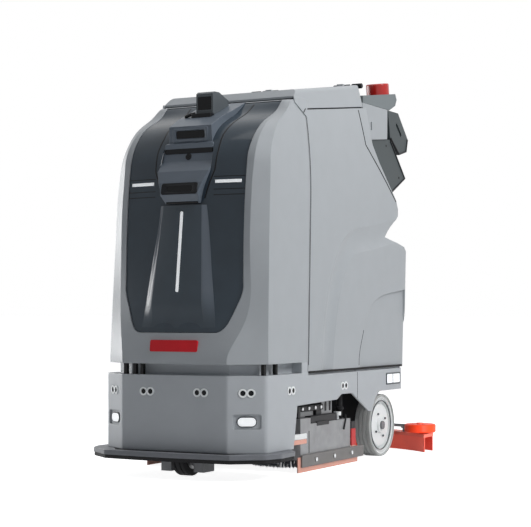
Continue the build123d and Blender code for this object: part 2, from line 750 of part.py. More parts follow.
def contact_bumper():
    """Bumper plate with the two rods that guide it."""
    plate = bumper_band((BUMPER_TOP_Z - BUMPER_PLATE_T, BUMPER_TOP_Z), 0)
    span = [FRONT_Y + end for end in BUMPER_ROD_ENDS]
    return plate + both_sides(rod_y(BUMPER_ROD_R, BUMPER_ROD_X, span, BUMPER_ROD_Z))


def bumper_edge():
    """Rubber under the bumper plate."""
    top = BUMPER_TOP_Z - BUMPER_PLATE_T
    return bumper_band((top - BUMPER_RUBBER_T, top), BUMPER_RUBBER_INSET)


# Chassis


def chassis_frame():
    """Rails, cross members, axle bulkhead, bumper guides and squeegee lugs."""
    rail_z = (DECK_UNDER_Z - RAIL_H, DECK_UNDER_Z)
    plate_z = (DECK_UNDER_Z - STEER_PLATE_T, DECK_UNDER_Z)
    front_y = DRIVE_WHEEL_Y + STEER_RING_R + STEER_CLEAR
    rear_y = BASE_REAR_Y - RAIL_END_GAP
    outer = RAIL_X[1]
    bracket_x = REAR_WHEEL_OUTER_X - REAR_TYRE_W - 2 * BASE_WALL - CROSS_W / 10
    frame = both_sides(block(RAIL_X, (front_y, rear_y), rail_z))
    plate_y = (BASE_FRONT_Y + PLATE_GAP, front_y + CROSS_W)
    frame += block((-FRONT_FLAT_HALF_W, FRONT_FLAT_HALF_W), plate_y, plate_z)
    for y in (front_y, BRUSH_Y + DECK_REAR_L + 2 * CROSS_W, rear_y - CROSS_W):
        frame += block((-outer, outer), (y, y + CROSS_W), rail_z)
    frame += block((-outer, outer), (BRUSH_Y - CROSS_W, BRUSH_Y + CROSS_W), plate_z)
    bracket_y = (REAR_WHEEL_Y - BRACKET_HALF_L, REAR_WHEEL_Y + BRACKET_HALF_L)
    bulkhead_y = (bracket_y[0], bracket_y[0] + BULKHEAD_T)
    frame += block((-bracket_x, bracket_x), bulkhead_y, (BULKHEAD_Z, DECK_UNDER_Z))
    bracket = (bracket_x - AXLE_BRACKET_T, bracket_x)
    frame += both_sides(block(bracket, bracket_y, (REAR_WHEEL_R - BRACKET_DROP, DECK_UNDER_Z)))
    frame -= rod_x(AXLE_R, (-BASE_HALF_W, BASE_HALF_W), REAR_WHEEL_Y, REAR_WHEEL_R)
    guide_x = (BUMPER_ROD_X - GUIDE_HALF_W, BUMPER_ROD_X + GUIDE_HALF_W)
    frame += both_sides(block(guide_x, GUIDE_Y, (BUMPER_ROD_Z - GUIDE_DROP, DECK_UNDER_Z)))
    frame -= both_sides(rod_y(BUMPER_ROD_R + RUN_FIT, BUMPER_ROD_X, GUIDE_Y, BUMPER_ROD_Z))
    lug_y = (ARM_PIN_Y - LUG_HALF_L, ARM_PIN_Y + LUG_HALF_L)
    frame += both_sides(block(LUG_X, lug_y, (ARM_PIN_Z - LUG_HALF_L, DECK_UNDER_Z)))
    frame += block((-LUG_X[1], LUG_X[1]), lug_y, (DECK_UNDER_Z - RAIL_H / 2, DECK_UNDER_Z))
    pin_end = LUG_X[1] + 2 * CLEAR
    return frame + rod_x(ARM_PIN_R, (-pin_end, pin_end), ARM_PIN_Y, ARM_PIN_Z)


def steer_unit():
    """Slewing ring with the steering motor beside it."""
    under = DECK_UNDER_Z - STEER_PLATE_T
    z = (under - STEER_RING_H, under)
    unit = rod_z(STEER_RING_R, 0, DRIVE_WHEEL_Y, z)
    unit -= rod_z(STEER_SPINDLE_R + FREE_FIT, 0, DRIVE_WHEEL_Y, z)
    arm_x = (STEER_RING_R - 6, STEER_MOTOR_X)
    unit += block(arm_x, (DRIVE_WHEEL_Y - STEER_MOTOR_R, DRIVE_WHEEL_Y + STEER_MOTOR_R), (z[0] + 4, z[1]))
    return unit + rod_z(STEER_MOTOR_R, STEER_MOTOR_X, DRIVE_WHEEL_Y, (under - STEER_MOTOR_H, under))


def drive_fork():
    """Fork that steers, with the gear case and the brake case on its sides."""
    ring_z = DECK_UNDER_Z - STEER_PLATE_T - STEER_RING_H
    centre = DRIVE_WHEEL_R
    y = (DRIVE_WHEEL_Y - FORK_HALF_L, DRIVE_WHEEL_Y + FORK_HALF_L)
    neck_z = ring_z - FORK_NECK_H
    crown_z = 2 * DRIVE_WHEEL_R + FORK_CROWN_GAP
    fork = rod_z(STEER_SPINDLE_R, 0, DRIVE_WHEEL_Y, (ring_z - CLEAR, ring_z + STEER_RING_H - CLEAR))
    fork += rod_z(STEER_RING_R - CLEAR, 0, DRIVE_WHEEL_Y, (neck_z, ring_z - FREE_FIT))
    fork += block((-FORK_CHEEK[1], FORK_CHEEK[1]), y, (crown_z, neck_z))
    cheek = block(FORK_CHEEK, y, (centre, crown_z))
    cheek += rod_x(FORK_HALF_L, FORK_CHEEK, DRIVE_WHEEL_Y, centre)
    case_y = (DRIVE_WHEEL_Y - FORK_BOX_HALF_L, DRIVE_WHEEL_Y + FORK_BOX_HALF_L)
    case_x = (FORK_CHEEK[1], FORK_BOX_X)
    cheek += block(case_x, case_y, FORK_BOX_Z)
    cheek += rod_x(FORK_BOX_HALF_L, (FORK_CHEEK[1], FORK_BOX_X - 2 * CLEAR), DRIVE_WHEEL_Y, centre)
    fork += both_sides(cheek)
    bore_x = FORK_CHEEK[1] + FORK_BORE_END
    return fork - rod_x(DRIVE_AXLE_R + RUN_FIT, (-bore_x, bore_x), DRIVE_WHEEL_Y, centre)


def tyre(outer_r, rim_r, x, y, grooves):
    """Tyre with round shoulders and grooves in its tread."""
    body = rod_x(outer_r, x, y, outer_r)
    body = fillet(body.edges().filter_by(GeomType.CIRCLE), TYRE_SHOULDER_R)
    body -= rod_x(rim_r, x, y, outer_r)
    for share in grooves:
        middle = x[0] + share * (x[1] - x[0])
        span = (middle - TREAD_GROOVE_W / 2, middle + TREAD_GROOVE_W / 2)
        ring = rod_x(outer_r + 1, span, y, outer_r)
        body -= ring - rod_x(outer_r - TREAD_GROOVE_DEPTH, span, y, outer_r)
    return body


def drive_tyre():
    """Tyre of the front wheel."""
    half = DRIVE_TYRE_W / 2
    return tyre(DRIVE_WHEEL_R, DRIVE_RIM_R, (-half, half), DRIVE_WHEEL_Y, (0.3, 0.7))


def drive_hub():
    """Hub of the front wheel with its axle."""
    rim = DRIVE_TYRE_W / 2 - 3
    boss = FORK_CHEEK[0] - 3
    end = FORK_CHEEK[1] + 10
    hub = rod_x(DRIVE_RIM_R, (-rim, rim), DRIVE_WHEEL_Y, DRIVE_WHEEL_R)
    hub += rod_x(2 * DRIVE_AXLE_R, (-boss, boss), DRIVE_WHEEL_Y, DRIVE_WHEEL_R)
    return hub + rod_x(DRIVE_AXLE_R, (-end, end), DRIVE_WHEEL_Y, DRIVE_WHEEL_R)


HUB_INNER_X = REAR_WHEEL_OUTER_X - REAR_TYRE_W + 2
HUB_FACE_X = REAR_WHEEL_OUTER_X - 6
AXLE_END_X = REAR_WHEEL_OUTER_X + 3


def rear_axle():
    """Fixed rear axle with collars and end nuts."""
    axle = rod_x(AXLE_R, (-AXLE_END_X, AXLE_END_X), REAR_WHEEL_Y, REAR_WHEEL_R)
    collar = rod_x(AXLE_NUT_R + 1, (HUB_INNER_X - 18, HUB_INNER_X - 1), REAR_WHEEL_Y, REAR_WHEEL_R)
    nut = rod_x(AXLE_NUT_R, (HUB_FACE_X + CLEAR + 0.5, AXLE_END_X), REAR_WHEEL_Y, REAR_WHEEL_R)
    return axle + both_sides(collar) + both_sides(nut)


def left_tyre():
    """Rear tyre on the left."""
    span = (REAR_WHEEL_OUTER_X - REAR_TYRE_W, REAR_WHEEL_OUTER_X)
    return tyre(REAR_WHEEL_R, REAR_RIM_R, span, REAR_WHEEL_Y, (0.25, 0.5, 0.75))


def left_hub():
    """Rear hub on the left: a dished disc with a ring groove that turns on the axle."""
    y, z = REAR_WHEEL_Y, REAR_WHEEL_R
    web = HUB_FACE_X - HUB_DISH
    dish_r = REAR_RIM_R - 8
    hub = rod_x(REAR_RIM_R, (HUB_INNER_X, HUB_FACE_X), y, z)
    hub -= rod_x(dish_r, (web, HUB_FACE_X), y, z)
    hub -= rod_x(dish_r, (HUB_INNER_X, HUB_INNER_X + REAR_TYRE_W / 2), y, z)
    groove = (web - 2 * HUB_DISH, web)
    hub -= rod_x(HUB_GROOVE[1] * REAR_RIM_R, groove, y, z) - rod_x(HUB_GROOVE[0] * REAR_RIM_R, groove, y, z)
    hub += rod_x(AXLE_NUT_R + 11, (HUB_INNER_X, HUB_FACE_X + CLEAR), y, z)
    return hub - rod_x(AXLE_R + RUN_FIT, (HUB_INNER_X, AXLE_END_X), y, z)


# Brush deck


def brush_deck():
    """Steel deck open below, with its aprons and a raised step at its front."""
    y = (BRUSH_Y - DECK_FRONT_L, BRUSH_Y + DECK_REAR_L)
    inner = DECK_HALF_W - DECK_T
    deck = block((-DECK_HALF_W, DECK_HALF_W), y, (APRON_BOTTOM_Z, DECK_TOP_Z))
    deck -= block((-inner, inner), (y[0] + DECK_T, y[1] - DECK_T), (APRON_BOTTOM_Z, DECK_Z))
    step_x = (DECK_HALF_W - DECK_T - DECK_STEP_L, DECK_HALF_W)
    deck += both_sides(block(step_x, (y[0], y[0] + DECK_STEP_L), (DECK_TOP_Z, DECK_TOP_Z + DECK_STEP_H)))
    for side in (-1, 1):
        deck -= rod_z(BRUSH_STUB_R + FREE_FIT, side * BRUSH_X, BRUSH_Y, (DECK_Z, DECK_TOP_Z))
    return deck


def brush_motors():
    """Two gear motors on the deck."""
    gearbox_x = (BRUSH_X - GEARBOX_HALF[0], BRUSH_X + GEARBOX_HALF[0])
    gearbox_y = (BRUSH_Y - GEARBOX_HALF[1], BRUSH_Y + GEARBOX_HALF[1])
    gearbox = block(gearbox_x, gearbox_y, (DECK_TOP_Z, DECK_TOP_Z + GEARBOX_H))
    gearbox = fillet(gearbox.edges().filter_by(Axis.Z), GEARBOX_H / 2)
    motor_z = (DECK_TOP_Z + GEARBOX_H, DECK_TOP_Z + BRUSH_MOTOR_H)
    return both_sides(gearbox + rod_z(BRUSH_MOTOR_R, BRUSH_X, BRUSH_Y, motor_z))


def left_brush_disc():
    """Brush plate with its drive stub."""
    low, high = BRUSH_PLATE_Z
    plate = rod_z(BRUSH_R - CLEAR, BRUSH_X, BRUSH_Y, (low, high))
    plate += rod_z(BRUSH_HUB_R, BRUSH_X, BRUSH_Y, (high, BRUSH_HUB_TOP_Z))
    return plate + rod_z(BRUSH_STUB_R, BRUSH_X, BRUSH_Y, (BRUSH_HUB_TOP_Z, DECK_TOP_Z - FREE_FIT))


def left_bristles():
    """Bristle ring under the brush plate."""
    z = (2 * BLADE_FLOOR_GAP, BRUSH_PLATE_Z[0])
    return rod_z(BRUSH_R, BRUSH_X, BRUSH_Y, z) - rod_z(BRUSH_HOLE_R, BRUSH_X, BRUSH_Y, z)


def side_blades():
    """Rubber blades along both sides of the deck, each with an upright strip behind the deck."""
    x = (DECK_HALF_W, DECK_HALF_W + BLADE_T)
    y = (BRUSH_Y - BLADE_FRONT_L, BRUSH_Y + BLADE_REAR_L)
    strip = BRUSH_Y + DECK_REAR_L + CLEAR
    blade = block(x, y, (BLADE_FLOOR_GAP, SKIRT_Z[1] - BASE_WALL))
    blade += block(x, (strip, strip + BLADE_STRIP_W), (BLADE_FLOOR_GAP, BLADE_STRIP_TOP_Z))
    return both_sides(blade)


SKIRT_OUTER_X = DECK_HALF_W + BLADE_T + SKIRT_T


def side_skirts():
    """Clamp plates that hold the side blades."""
    x = (DECK_HALF_W + BLADE_T, SKIRT_OUTER_X)
    return both_sides(block(x, (BRUSH_Y - SKIRT_FRONT_L, BRUSH_Y + SKIRT_REAR_L), SKIRT_Z))


def skirt_bolts():
    """Bolts through the clamp plates."""
    x = (SKIRT_OUTER_X, SKIRT_OUTER_X + SKIRT_BOLT_H)
    y = BRUSH_Y + (SKIRT_REAR_L - SKIRT_FRONT_L) / 2
    z = sum(SKIRT_Z) / 2
    bolts = [rod_x(SKIRT_BOLT_R, x, y + step * SKIRT_BOLT_STEP, z) for step in (-1, 0, 1)]
    return both_sides(Compound(children=bolts))


def deck_knobs():
    """White adjusting knobs on the deck, one on each side."""
    x = DECK_HALF_W - KNOB_R - 3 * CLEAR
    knob = rod_z(KNOB_STEM_R, x, KNOB_Y, (DECK_TOP_Z, DECK_TOP_Z + KNOB_R))
    return both_sides(knob + rod_z(KNOB_R, x, KNOB_Y, (DECK_TOP_Z + KNOB_R, DECK_TOP_Z + 2 * KNOB_R)))


def lift_actuator():
    """Body of the actuator that lifts the deck."""
    top = DECK_UNDER_Z - STEER_PLATE_T
    body = rod_z(LIFT_BODY_R, 0, BRUSH_Y, (LIFT_BODY_Z, top))
    return body - rod_z(LIFT_ROD_R + RUN_FIT, 0, BRUSH_Y, (LIFT_BODY_Z, top - DECK_T / 2))


def lift_rod():
    """Rod of the actuator, fixed to the deck."""
    top = DECK_UNDER_Z - STEER_PLATE_T - DECK_T / 2 - DECK_LIFT - 3 * CLEAR
    rod = rod_z(LIFT_ROD_R, 0, BRUSH_Y, (DECK_TOP_Z, top))
    return rod + rod_z(LIFT_FOOT_R, 0, BRUSH_Y, (DECK_TOP_Z, DECK_TOP_Z + LIFT_ROD_R))


# Rear squeegee


def squeegee_band(r, z):
    """Part of a ring about the squeegee's centre, between two radii and two heights."""
    band = rod_z(r[1], 0, SQUEEGEE_CENTRE_Y, z) - rod_z(r[0], 0, SQUEEGEE_CENTRE_Y, z)
    keep_y = (SQUEEGEE_CENTRE_Y + SQUEEGEE_INNER_R / 3, REAR_Y + CLEAR)
    return band & block((-SQUEEGEE_HALF_W, SQUEEGEE_HALF_W), keep_y, z)


def squeegee_body():
    """Curved plate with the swing pin, the roller pins and the hose spigot."""
    top = SQUEEGEE_TOP_Z
    body = squeegee_band((SQUEEGEE_INNER_R, SQUEEGEE_BODY_R), (SQUEEGEE_Z, top))
    body += block((-TAB_HALF_W, TAB_HALF_W), TAB_Y, (SQUEEGEE_Z, top))
    body += rod_z(KINGPIN_R, 0, KINGPIN_Y, (top, top + KINGPIN_H))
    cap_z = top + ROLLER_COLLAR_H + ROLLER_H + 2 * FREE_FIT
    for side in (-1, 1):
        x = side * ROLLER_X
        body += rod_z(ROLLER_COLLAR_R, x, ROLLER_Y, (top, top + ROLLER_COLLAR_H))
        body += rod_z(ROLLER_PIN_R, x, ROLLER_Y, (top, cap_z + CLEAR))
        body += rod_z(ROLLER_COLLAR_R, x, ROLLER_Y, (cap_z, cap_z + 2 * CLEAR))
    body += rod_z(SPIGOT_R, 0, SUCTION_Y, (top, top + SPIGOT_LENGTH))
    return body - rod_z(SPIGOT_BORE_R, 0, SUCTION_Y, (SQUEEGEE_Z, top + SPIGOT_LENGTH))


def front_blade():
    """Front squeegee blade."""
    r = SQUEEGEE_INNER_R + SQUEEGEE_BLADE_INSET
    return squeegee_band((r, r + BLADE_T), (BLADE_FLOOR_GAP, SQUEEGEE_Z))


def rear_blade():
    """Rear squeegee blade."""
    r = SQUEEGEE_BODY_R - SQUEEGEE_BLADE_INSET
    return squeegee_band((r - BLADE_T, r), (BLADE_FLOOR_GAP, SQUEEGEE_Z))


def left_roller():
    """Bump roller at the left end of the squeegee."""
    low = SQUEEGEE_TOP_Z + ROLLER_COLLAR_H + FREE_FIT
    z = (low, low + ROLLER_H)
    roller = rod_z(ROLLER_R, ROLLER_X, ROLLER_Y, z)
    roller = fillet(roller.edges().filter_by(GeomType.CIRCLE), ROLLER_EDGE_R)
    return roller - rod_z(ROLLER_PIN_R + RUN_FIT, ROLLER_X, ROLLER_Y, z)


def squeegee_arm():
    """Arm from the chassis to the squeegee: two cheeks with a block at the end."""
    end_z = SQUEEGEE_TOP_Z + FREE_FIT
    outline = (
        (ARM_PIN_Y + ARM_FOOT[0], ARM_PIN_Z + ARM_FOOT[1]),
        (ARM_PIN_Y + ARM_TOP[0], ARM_PIN_Z + ARM_TOP[1]),
        (ARM_END_Y[1], end_z + ARM_END_H),
        (ARM_END_Y[1], end_z),
        (ARM_END_Y[0] - ARM_HEEL, end_z),
    )
    x = (-ARM_HALF_W, ARM_HALF_W)
    arm = side_view(outline, ARM_HALF_W) - side_view(outline, ARM_HALF_W - ARM_WALL)
    arm += rod_x(ARM_BOSS_R, x, ARM_PIN_Y, ARM_PIN_Z)
    arm += block(x, ARM_END_Y, (end_z, end_z + ARM_END_H))
    arm -= rod_x(ARM_PIN_R + RUN_FIT, x, ARM_PIN_Y, ARM_PIN_Z)
    return arm - rod_z(KINGPIN_R + RUN_FIT, 0, KINGPIN_Y, (end_z, end_z + 2 * ARM_END_H))


# Front of the upper body

KEEL_PLANE = Plane(
    origin=(0, FRONT_BOTTOM_Y, BODY_BOTTOM_Z),
    x_dir=(1, 0, 0),
    z_dir=(0, -1, KEEL_LEAN),
)
KEEL_SLOPE = sqrt(1 + KEEL_LEAN**2)
FAR_FRONT_Y = FRONT_Y - CHAMFER_DEPTH
OUTER_FRONT = front_body(0)
PANEL_FRONT = front_body(PANEL_SINK)
PANEL_BACK = front_body(PANEL_SINK + PANEL_T)


def fascia_zone(gap):
    """Front view of the fascia, drawn in by a gap, as a deep prism."""
    half = BODY_HALF_W - gap
    corner = [(half - x, BODY_BOTTOM_Z + z + gap) for x, z in FASCIA_CORNER]
    top = [(half - x, BODY_BOTTOM_Z + z - gap) for x, z in FASCIA_TOP]
    right = [Spline(*corner), *Polyline(corner[-1], *top).edges()]
    left = [mirror(edge, about=Plane.YZ) for edge in right]
    closing = [Line(corner[0], (-corner[0][0], corner[0][1])), Line(top[-1], (-top[-1][0], top[-1][1]))]
    face = make_face([*right, *left, *closing])
    return extrude(Pos(0, SEAM_FOOT_Y, 0) * (Plane.XZ * face), SEAM_FOOT_Y - FAR_FRONT_Y)


def pod_prism():
    """Front view of the sensor pod as a deep prism."""
    right = [(x, BODY_BOTTOM_Z + z) for x, z in POD_OUTLINE]
    left = [(-x, z) for x, z in reversed(right)]
    face = make_face(Polyline(*right, *left, close=True))
    return extrude(Pos(0, SEAM_FOOT_Y, 0) * (Plane.XZ * face), SEAM_FOOT_Y - FAR_FRONT_Y)


POD_BODY = side_view(at_front(POD_PROFILE), BODY_HALF_W) & pod_prism()


def front_shell():
    """Light front shell with the pocket for the fascia and the opening for the pod."""
    inner_stations = ((BASE_WALL, *FRONT_STATIONS[0][1:]), *FRONT_STATIONS[1:-1])
    shell = OUTER_FRONT - front_body(SHELL_WALL + PANEL_T + PANEL_SINK, SEAM_GAP, inner_stations)
    shell -= fascia_zone(0) - PANEL_BACK
    return shell - pod_prism()


def fascia_panel():
    """Dark tinted panel sunk into the front shell."""
    zone = fascia_zone(PANEL_GAP) - pod_prism()
    return (PANEL_FRONT - PANEL_BACK) & zone


def on_keel(low, high):
    """Heights above the body's foot turned into places along the keel's plane."""
    return low * KEEL_SLOPE, high * KEEL_SLOPE


def fascia_insert():
    """Raised keel in the middle of the fascia, wider at its foot, with sloping flanks."""
    right = [(x, z * KEEL_SLOPE) for x, z in KEEL]
    left = [(-x, z) for x, z in reversed(right)]
    face = make_face(Polyline(*right, *left, close=True))
    rise = KEEL_BACK + KEEL_RISE
    keel = extrude(KEEL_PLANE.offset(-KEEL_BACK) * face, rise, dir=KEEL_PLANE.z_dir, taper=KEEL_TAPER)
    return keel - front_body(PANEL_SINK - FREE_FIT) - POD_BODY


def light_strips():
    """White light strips: one upright on the keel, two level ones beside the pod."""
    low, high = on_keel(*UPRIGHT_STRIP_Z)
    upright = KEEL_PLANE.offset(KEEL_RISE) * Pos(0, (low + high) / 2)
    upright *= RectangleRounded(UPRIGHT_STRIP_W, high - low, 0.4 * UPRIGHT_STRIP_W)
    strips = extrude(upright, STRIP_RISE, dir=KEEL_PLANE.z_dir)
    level = front_body(PANEL_SINK - FREE_FIT - STRIP_RISE) - front_body(PANEL_SINK - FREE_FIT)
    z = [BODY_BOTTOM_Z + height for height in LEVEL_STRIP_Z]
    for side in (-1, 1):
        reach = sorted(side * x for x in LEVEL_STRIP_X)
        strips += level & block(reach, (FAR_FRONT_Y, SEAM_FOOT_Y), z)
    return strips


def nameplate():
    """Bare red plate under the fascia."""
    low, high = on_keel(*NAMEPLATE_Z)
    plane = KEEL_PLANE.offset(-2 * BASE_WALL)
    face = plane * Pos(0, (low + high) / 2)
    face *= RectangleRounded(2 * NAMEPLATE_HALF_W, high - low, NAMEPLATE_CORNER_R)
    return extrude(face, 2 * BASE_WALL, dir=KEEL_PLANE.z_dir) - OUTER_FRONT


def pod_plane(centre, facing):
    """Plane on a face of the pod."""
    ((y, z),) = at_front((centre,))
    return Plane(origin=(0, y, z), x_dir=(1, 0, 0), z_dir=(0, *facing))


def pod_windows():
    """Planes and sizes of the pod's two camera windows: brow and chin."""
    brow = (pod_plane(BROW_CENTRE, BROW_FACING), BROW_WINDOW)
    chin = (pod_plane(CHIN_CENTRE, CHIN_FACING), CHIN_WINDOW)
    return (brow, chin)


def sensor_pod():
    """Pod housing with its window pockets."""
    pod = POD_BODY
    for plane, size in pod_windows():
        pod -= slab(plane, *size, (-WINDOW_DEPTH, 2 * WINDOW_DEPTH), WINDOW_CORNER_R)
    return pod - disc(pod_plane(LENS_CENTRE, LENS_FACING), LENS_R, (-8, 2 * WINDOW_DEPTH))


def top_sensor_pane():
    """Pane in the front of the top sensor."""
    ((front, low), (_, high)) = at_front(((TOP_SENSOR[0][0], TOP_PANE_Z[0]), (0, TOP_PANE_Z[1])))
    return block((-TOP_PANE_HALF_W, TOP_PANE_HALF_W), (front, front + WINDOW_T), (low, high))


def camera_windows():
    """Dark windows and the small lens of the pod, and the pane of the top sensor."""
    depth = (-WINDOW_DEPTH, WINDOW_T - WINDOW_DEPTH)
    panes = [slab(plane, *size, depth, WINDOW_CORNER_R) for plane, size in pod_windows()]
    panes.append(disc(pod_plane(LENS_CENTRE, LENS_FACING), LENS_R, (-8, 1)))
    panes.append(top_sensor_pane())
    return Compound(children=panes)


def top_sensor():
    """Sensor block on top of the pod."""
    return side_view(at_front(TOP_SENSOR), TOP_SENSOR_HALF_W) - POD_BODY - top_sensor_pane()


# Rear of the upper body


def tank_back_y(z):
    """Back of the tank's lower part at a height, where it leans outward."""
    foot_z = BASE_TOP_Z - BODY_BOTTOM_Z
    share = (z - BASE_TOP_Z) / (TANK_TAIL[1] - foot_z)
    return TANK_REAR_Y + share * TANK_TAIL[0]


def tank_outline():
    """Side view of the tank."""
    foot_y = seam_y(BASE_TOP_Z) + SEAM_GAP / 2
    top_y = seam_y(LID_SEAM_Z) + SEAM_GAP / 2
    return [
        (foot_y, BASE_TOP_Z),
        (top_y, seam_z(top_y)),
        (TANK_TOP_REAR_Y, seam_z(TANK_TOP_REAR_Y)),
        *at_rear((*TANK_BACK, *TANK_NOTCH, TANK_TAIL)),
        (TANK_REAR_Y, BASE_TOP_Z),
    ]


def recovery_tank():
    """Rear tank, open at the top under the lid, with its hose spigots."""
    outline = tank_outline()
    wide = BASE_HALF_W + CHAMFER_DEPTH
    body = side_view(outline, wide) & drafted(0)
    tail_middle = (TANK_TAIL[1] + BASE_TOP_Z - BODY_BOTTOM_Z) / 2 + BODY_BOTTOM_Z
    corners = body.edges().filter_by(
        lambda e: abs(e.center().Y - tank_back_y(e.center().Z)) < 1
        and abs(e.center().X) > CONSOLE_HALF_W
        and abs(e.center().Z - tail_middle) < TANK_TAIL[1] / 4
    )
    body = fillet(corners, TANK_CORNER_R)
    path = Spline(*[(side_x(z) + VALLEY_R - VALLEY_DEPTH, y, z) for y, z in at_rear(VALLEY)])
    start = Plane(origin=path @ 0, z_dir=path % 0)
    body -= both_sides(sweep(start * Circle(VALLEY_R), path=path))
    arch = at_rear(ARCH)
    corner = (arch[0][0], arch[-1][1])
    panel = make_face([Spline(*arch), *Polyline(arch[-1], corner, arch[0]).edges()])
    body -= extrude(Plane.YZ * panel, wide, both=True) - drafted(-ARCH_DEPTH)
    cavity = offset(make_face(Polyline(*outline, close=True)), amount=-TANK_WALL, kind=Kind.INTERSECTION)
    body -= extrude(Plane.YZ * cavity, wide, both=True) & drafted(-TANK_SIDE_WALL)
    mouth_x = side_x(LID_REAR_TOP_Z) - TANK_MOUTH_RIM
    mouth_y = (seam_y(LID_SEAM_Z) + TANK_MOUTH_RIM, TANK_TOP_REAR_Y - 1.5 * TANK_MOUTH_RIM)
    body -= block((-mouth_x, mouth_x), mouth_y, (LID_SEAM_Z - 2 * TANK_MOUTH_RIM, LID_REAR_TOP_Z))
    for x, z in ((-SPIGOT_X, SUCTION_Z), (SPIGOT_X, DRAIN_Z)):
        boss = tank_back_y(z + SPIGOT_BOSS_R) + CLEAR
        wall = tank_back_y(z) - TANK_WALL
        body += rod_y(SPIGOT_BOSS_R, x, (wall, boss), z)
        body += rod_y(SPIGOT_R, x, (boss, boss + SPIGOT_LENGTH), z)
        body -= rod_y(SPIGOT_BORE_R, x, (wall - TANK_WALL, boss + SPIGOT_LENGTH), z)
    return body


LID_RIM = GASKET_T + GASKET_GAP
LID_STEP_Y = seam_y(SHELL_TOP_Z) + 2 * CLEAR


def lid_outline(drop):
    """Side view of the lid, drawn in by a wall: a low lip and a bevel lead up to its top."""
    front = LID_FRONT_Y + drop
    rear = LID_REAR_Y - drop
    step = LID_STEP_Y + drop
    slope = (LID_REAR_TOP_Z - LID_FRONT_TOP_Z) / (LID_REAR_Y - LID_FRONT_Y)
    return (
        (front, SHELL_TOP_Z + LID_RIM - 2 * drop),
        (front, SHELL_TOP_Z + LID_RIM + LID_LIP - drop),
        (front + LID_BEVEL, LID_FRONT_TOP_Z + slope * LID_BEVEL - drop),
        (rear, LID_REAR_TOP_Z - drop),
        (rear, seam_z(rear) + LID_RIM - 2 * drop),
        (step, seam_z(step) + LID_RIM - 2 * drop),
        (step, SHELL_TOP_Z + LID_RIM - 2 * drop),
    )


def lid_form(drop):
    """Outer form of the lid drawn in by a wall, its long upper edges round."""
    form = side_view(lid_outline(drop), BASE_HALF_W) & drafted(-drop)
    middle = (LID_FRONT_TOP_Z + LID_REAR_TOP_Z) / 2 - LID_EDGE_R
    edges = form.edges().filter_by(
        lambda e: e.center().Z > middle and abs(e.center().X) > LID_HINGE_X
    )
    return fillet(edges, LID_EDGE_R - drop)


def tank_lid():
    """Hollow lid with the pointed tongues at its sides and its hinge knuckles."""
    lid = lid_form(0) - lid_form(LID_WALL)
    tip = (seam_y(LID_SEAM_Z) + CLEAR / 2, LID_SEAM_Z - TONGUE_DROP)
    front = (LID_FRONT_Y - TONGUE_FRONT[0], SHELL_TOP_Z - TONGUE_FRONT[1])
    end_y = tip[0] + TONGUE_LENGTH
    back = (end_y, seam_z(end_y) + 8 * LID_RIM)
    tongue = side_view((front, tip, back, (front[0], back[1])), BASE_HALF_W)
    low = SHELL_TOP_Z + 2 * LID_RIM
    root = block((-BASE_HALF_W, BASE_HALF_W), (LID_FRONT_Y, end_y), (low, low + 4 * LID_RIM))
    lid += tongue & (drafted(TONGUE_T) - drafted(FREE_FIT))
    lid += tongue & root & (drafted(TONGUE_T) - drafted(-CLEAR))
    for side in (-1, 1):
        x = (side * LID_HINGE_X - KNUCKLE_W / 2, side * LID_HINGE_X + KNUCKLE_W / 2)
        lid += rod_x(KNUCKLE_R, x, LID_HINGE_Y, LID_HINGE_Z)
        lid += block(x, (LID_REAR_Y - 8, LID_HINGE_Y), (LID_HINGE_Z - 6, LID_HINGE_Z + KNUCKLE_R))
        lid -= rod_x(LID_PIN_R + RUN_FIT, x, LID_HINGE_Y, LID_HINGE_Z)
    return lid


def lid_gasket():
    """Rubber frame under the lid."""
    half = side_x(seam_z(LID_REAR_Y)) - GASKET_W

    def strip(inset):
        front, rear = LID_STEP_Y + 4 + inset, LID_REAR_Y - 4 - inset
        low, high = GASKET_GAP, GASKET_GAP + GASKET_T
        return (
            (front, seam_z(front) + low),
            (front, seam_z(front) + high),
            (rear, seam_z(rear) + high),
            (rear, seam_z(rear) + low),
        )

    return side_view(strip(0), half) - side_view(strip(GASKET_W), half - GASKET_W)


HOOD_FRONT_Y = at_rear(HOOD)[0][0]
HOOD_BOTTOM_Z = at_rear(HOOD)[0][1]


def lid_hinges():
    """Two hinge blocks with their pins, fixed to the hood."""
    hinges = []
    reach = KNUCKLE_W / 2 + EAR_GAP + EAR_W
    for side in (-1, 1):
        middle = side * LID_HINGE_X
        pin = rod_x(LID_PIN_R, (middle - reach, middle + reach), LID_HINGE_Y, LID_HINGE_Z)
        for low in (middle - reach, middle + reach - EAR_W):
            ear = (low, low + EAR_W)
            pin += rod_x(KNUCKLE_R, ear, LID_HINGE_Y, LID_HINGE_Z)
            pin += block(ear, (LID_HINGE_Y - 6, HOOD_FRONT_Y), (HOOD_BOTTOM_Z + 6, LID_HINGE_Z))
        hinges.append(pin)
    return Compound(children=hinges)


# Things inside the front shell


def battery_pack():
    """Battery on the floor of the front shell."""
    y = (STACK_REAR_Y - BATTERY_L, STACK_REAR_Y)
    pack = block((-BATTERY_HALF_W, BATTERY_HALF_W), y, (BODY_BOTTOM_Z + BASE_WALL, BATTERY_TOP_Z))
    for share in (0.1, 0.8):
        start = y[0] + share * BATTERY_L
        handle_z = (BATTERY_TOP_Z, BATTERY_TOP_Z + HANDLE_H)
        pack += block((-HANDLE_HALF_W, HANDLE_HALF_W), (start, start + HANDLE_H), handle_z)
    return pack


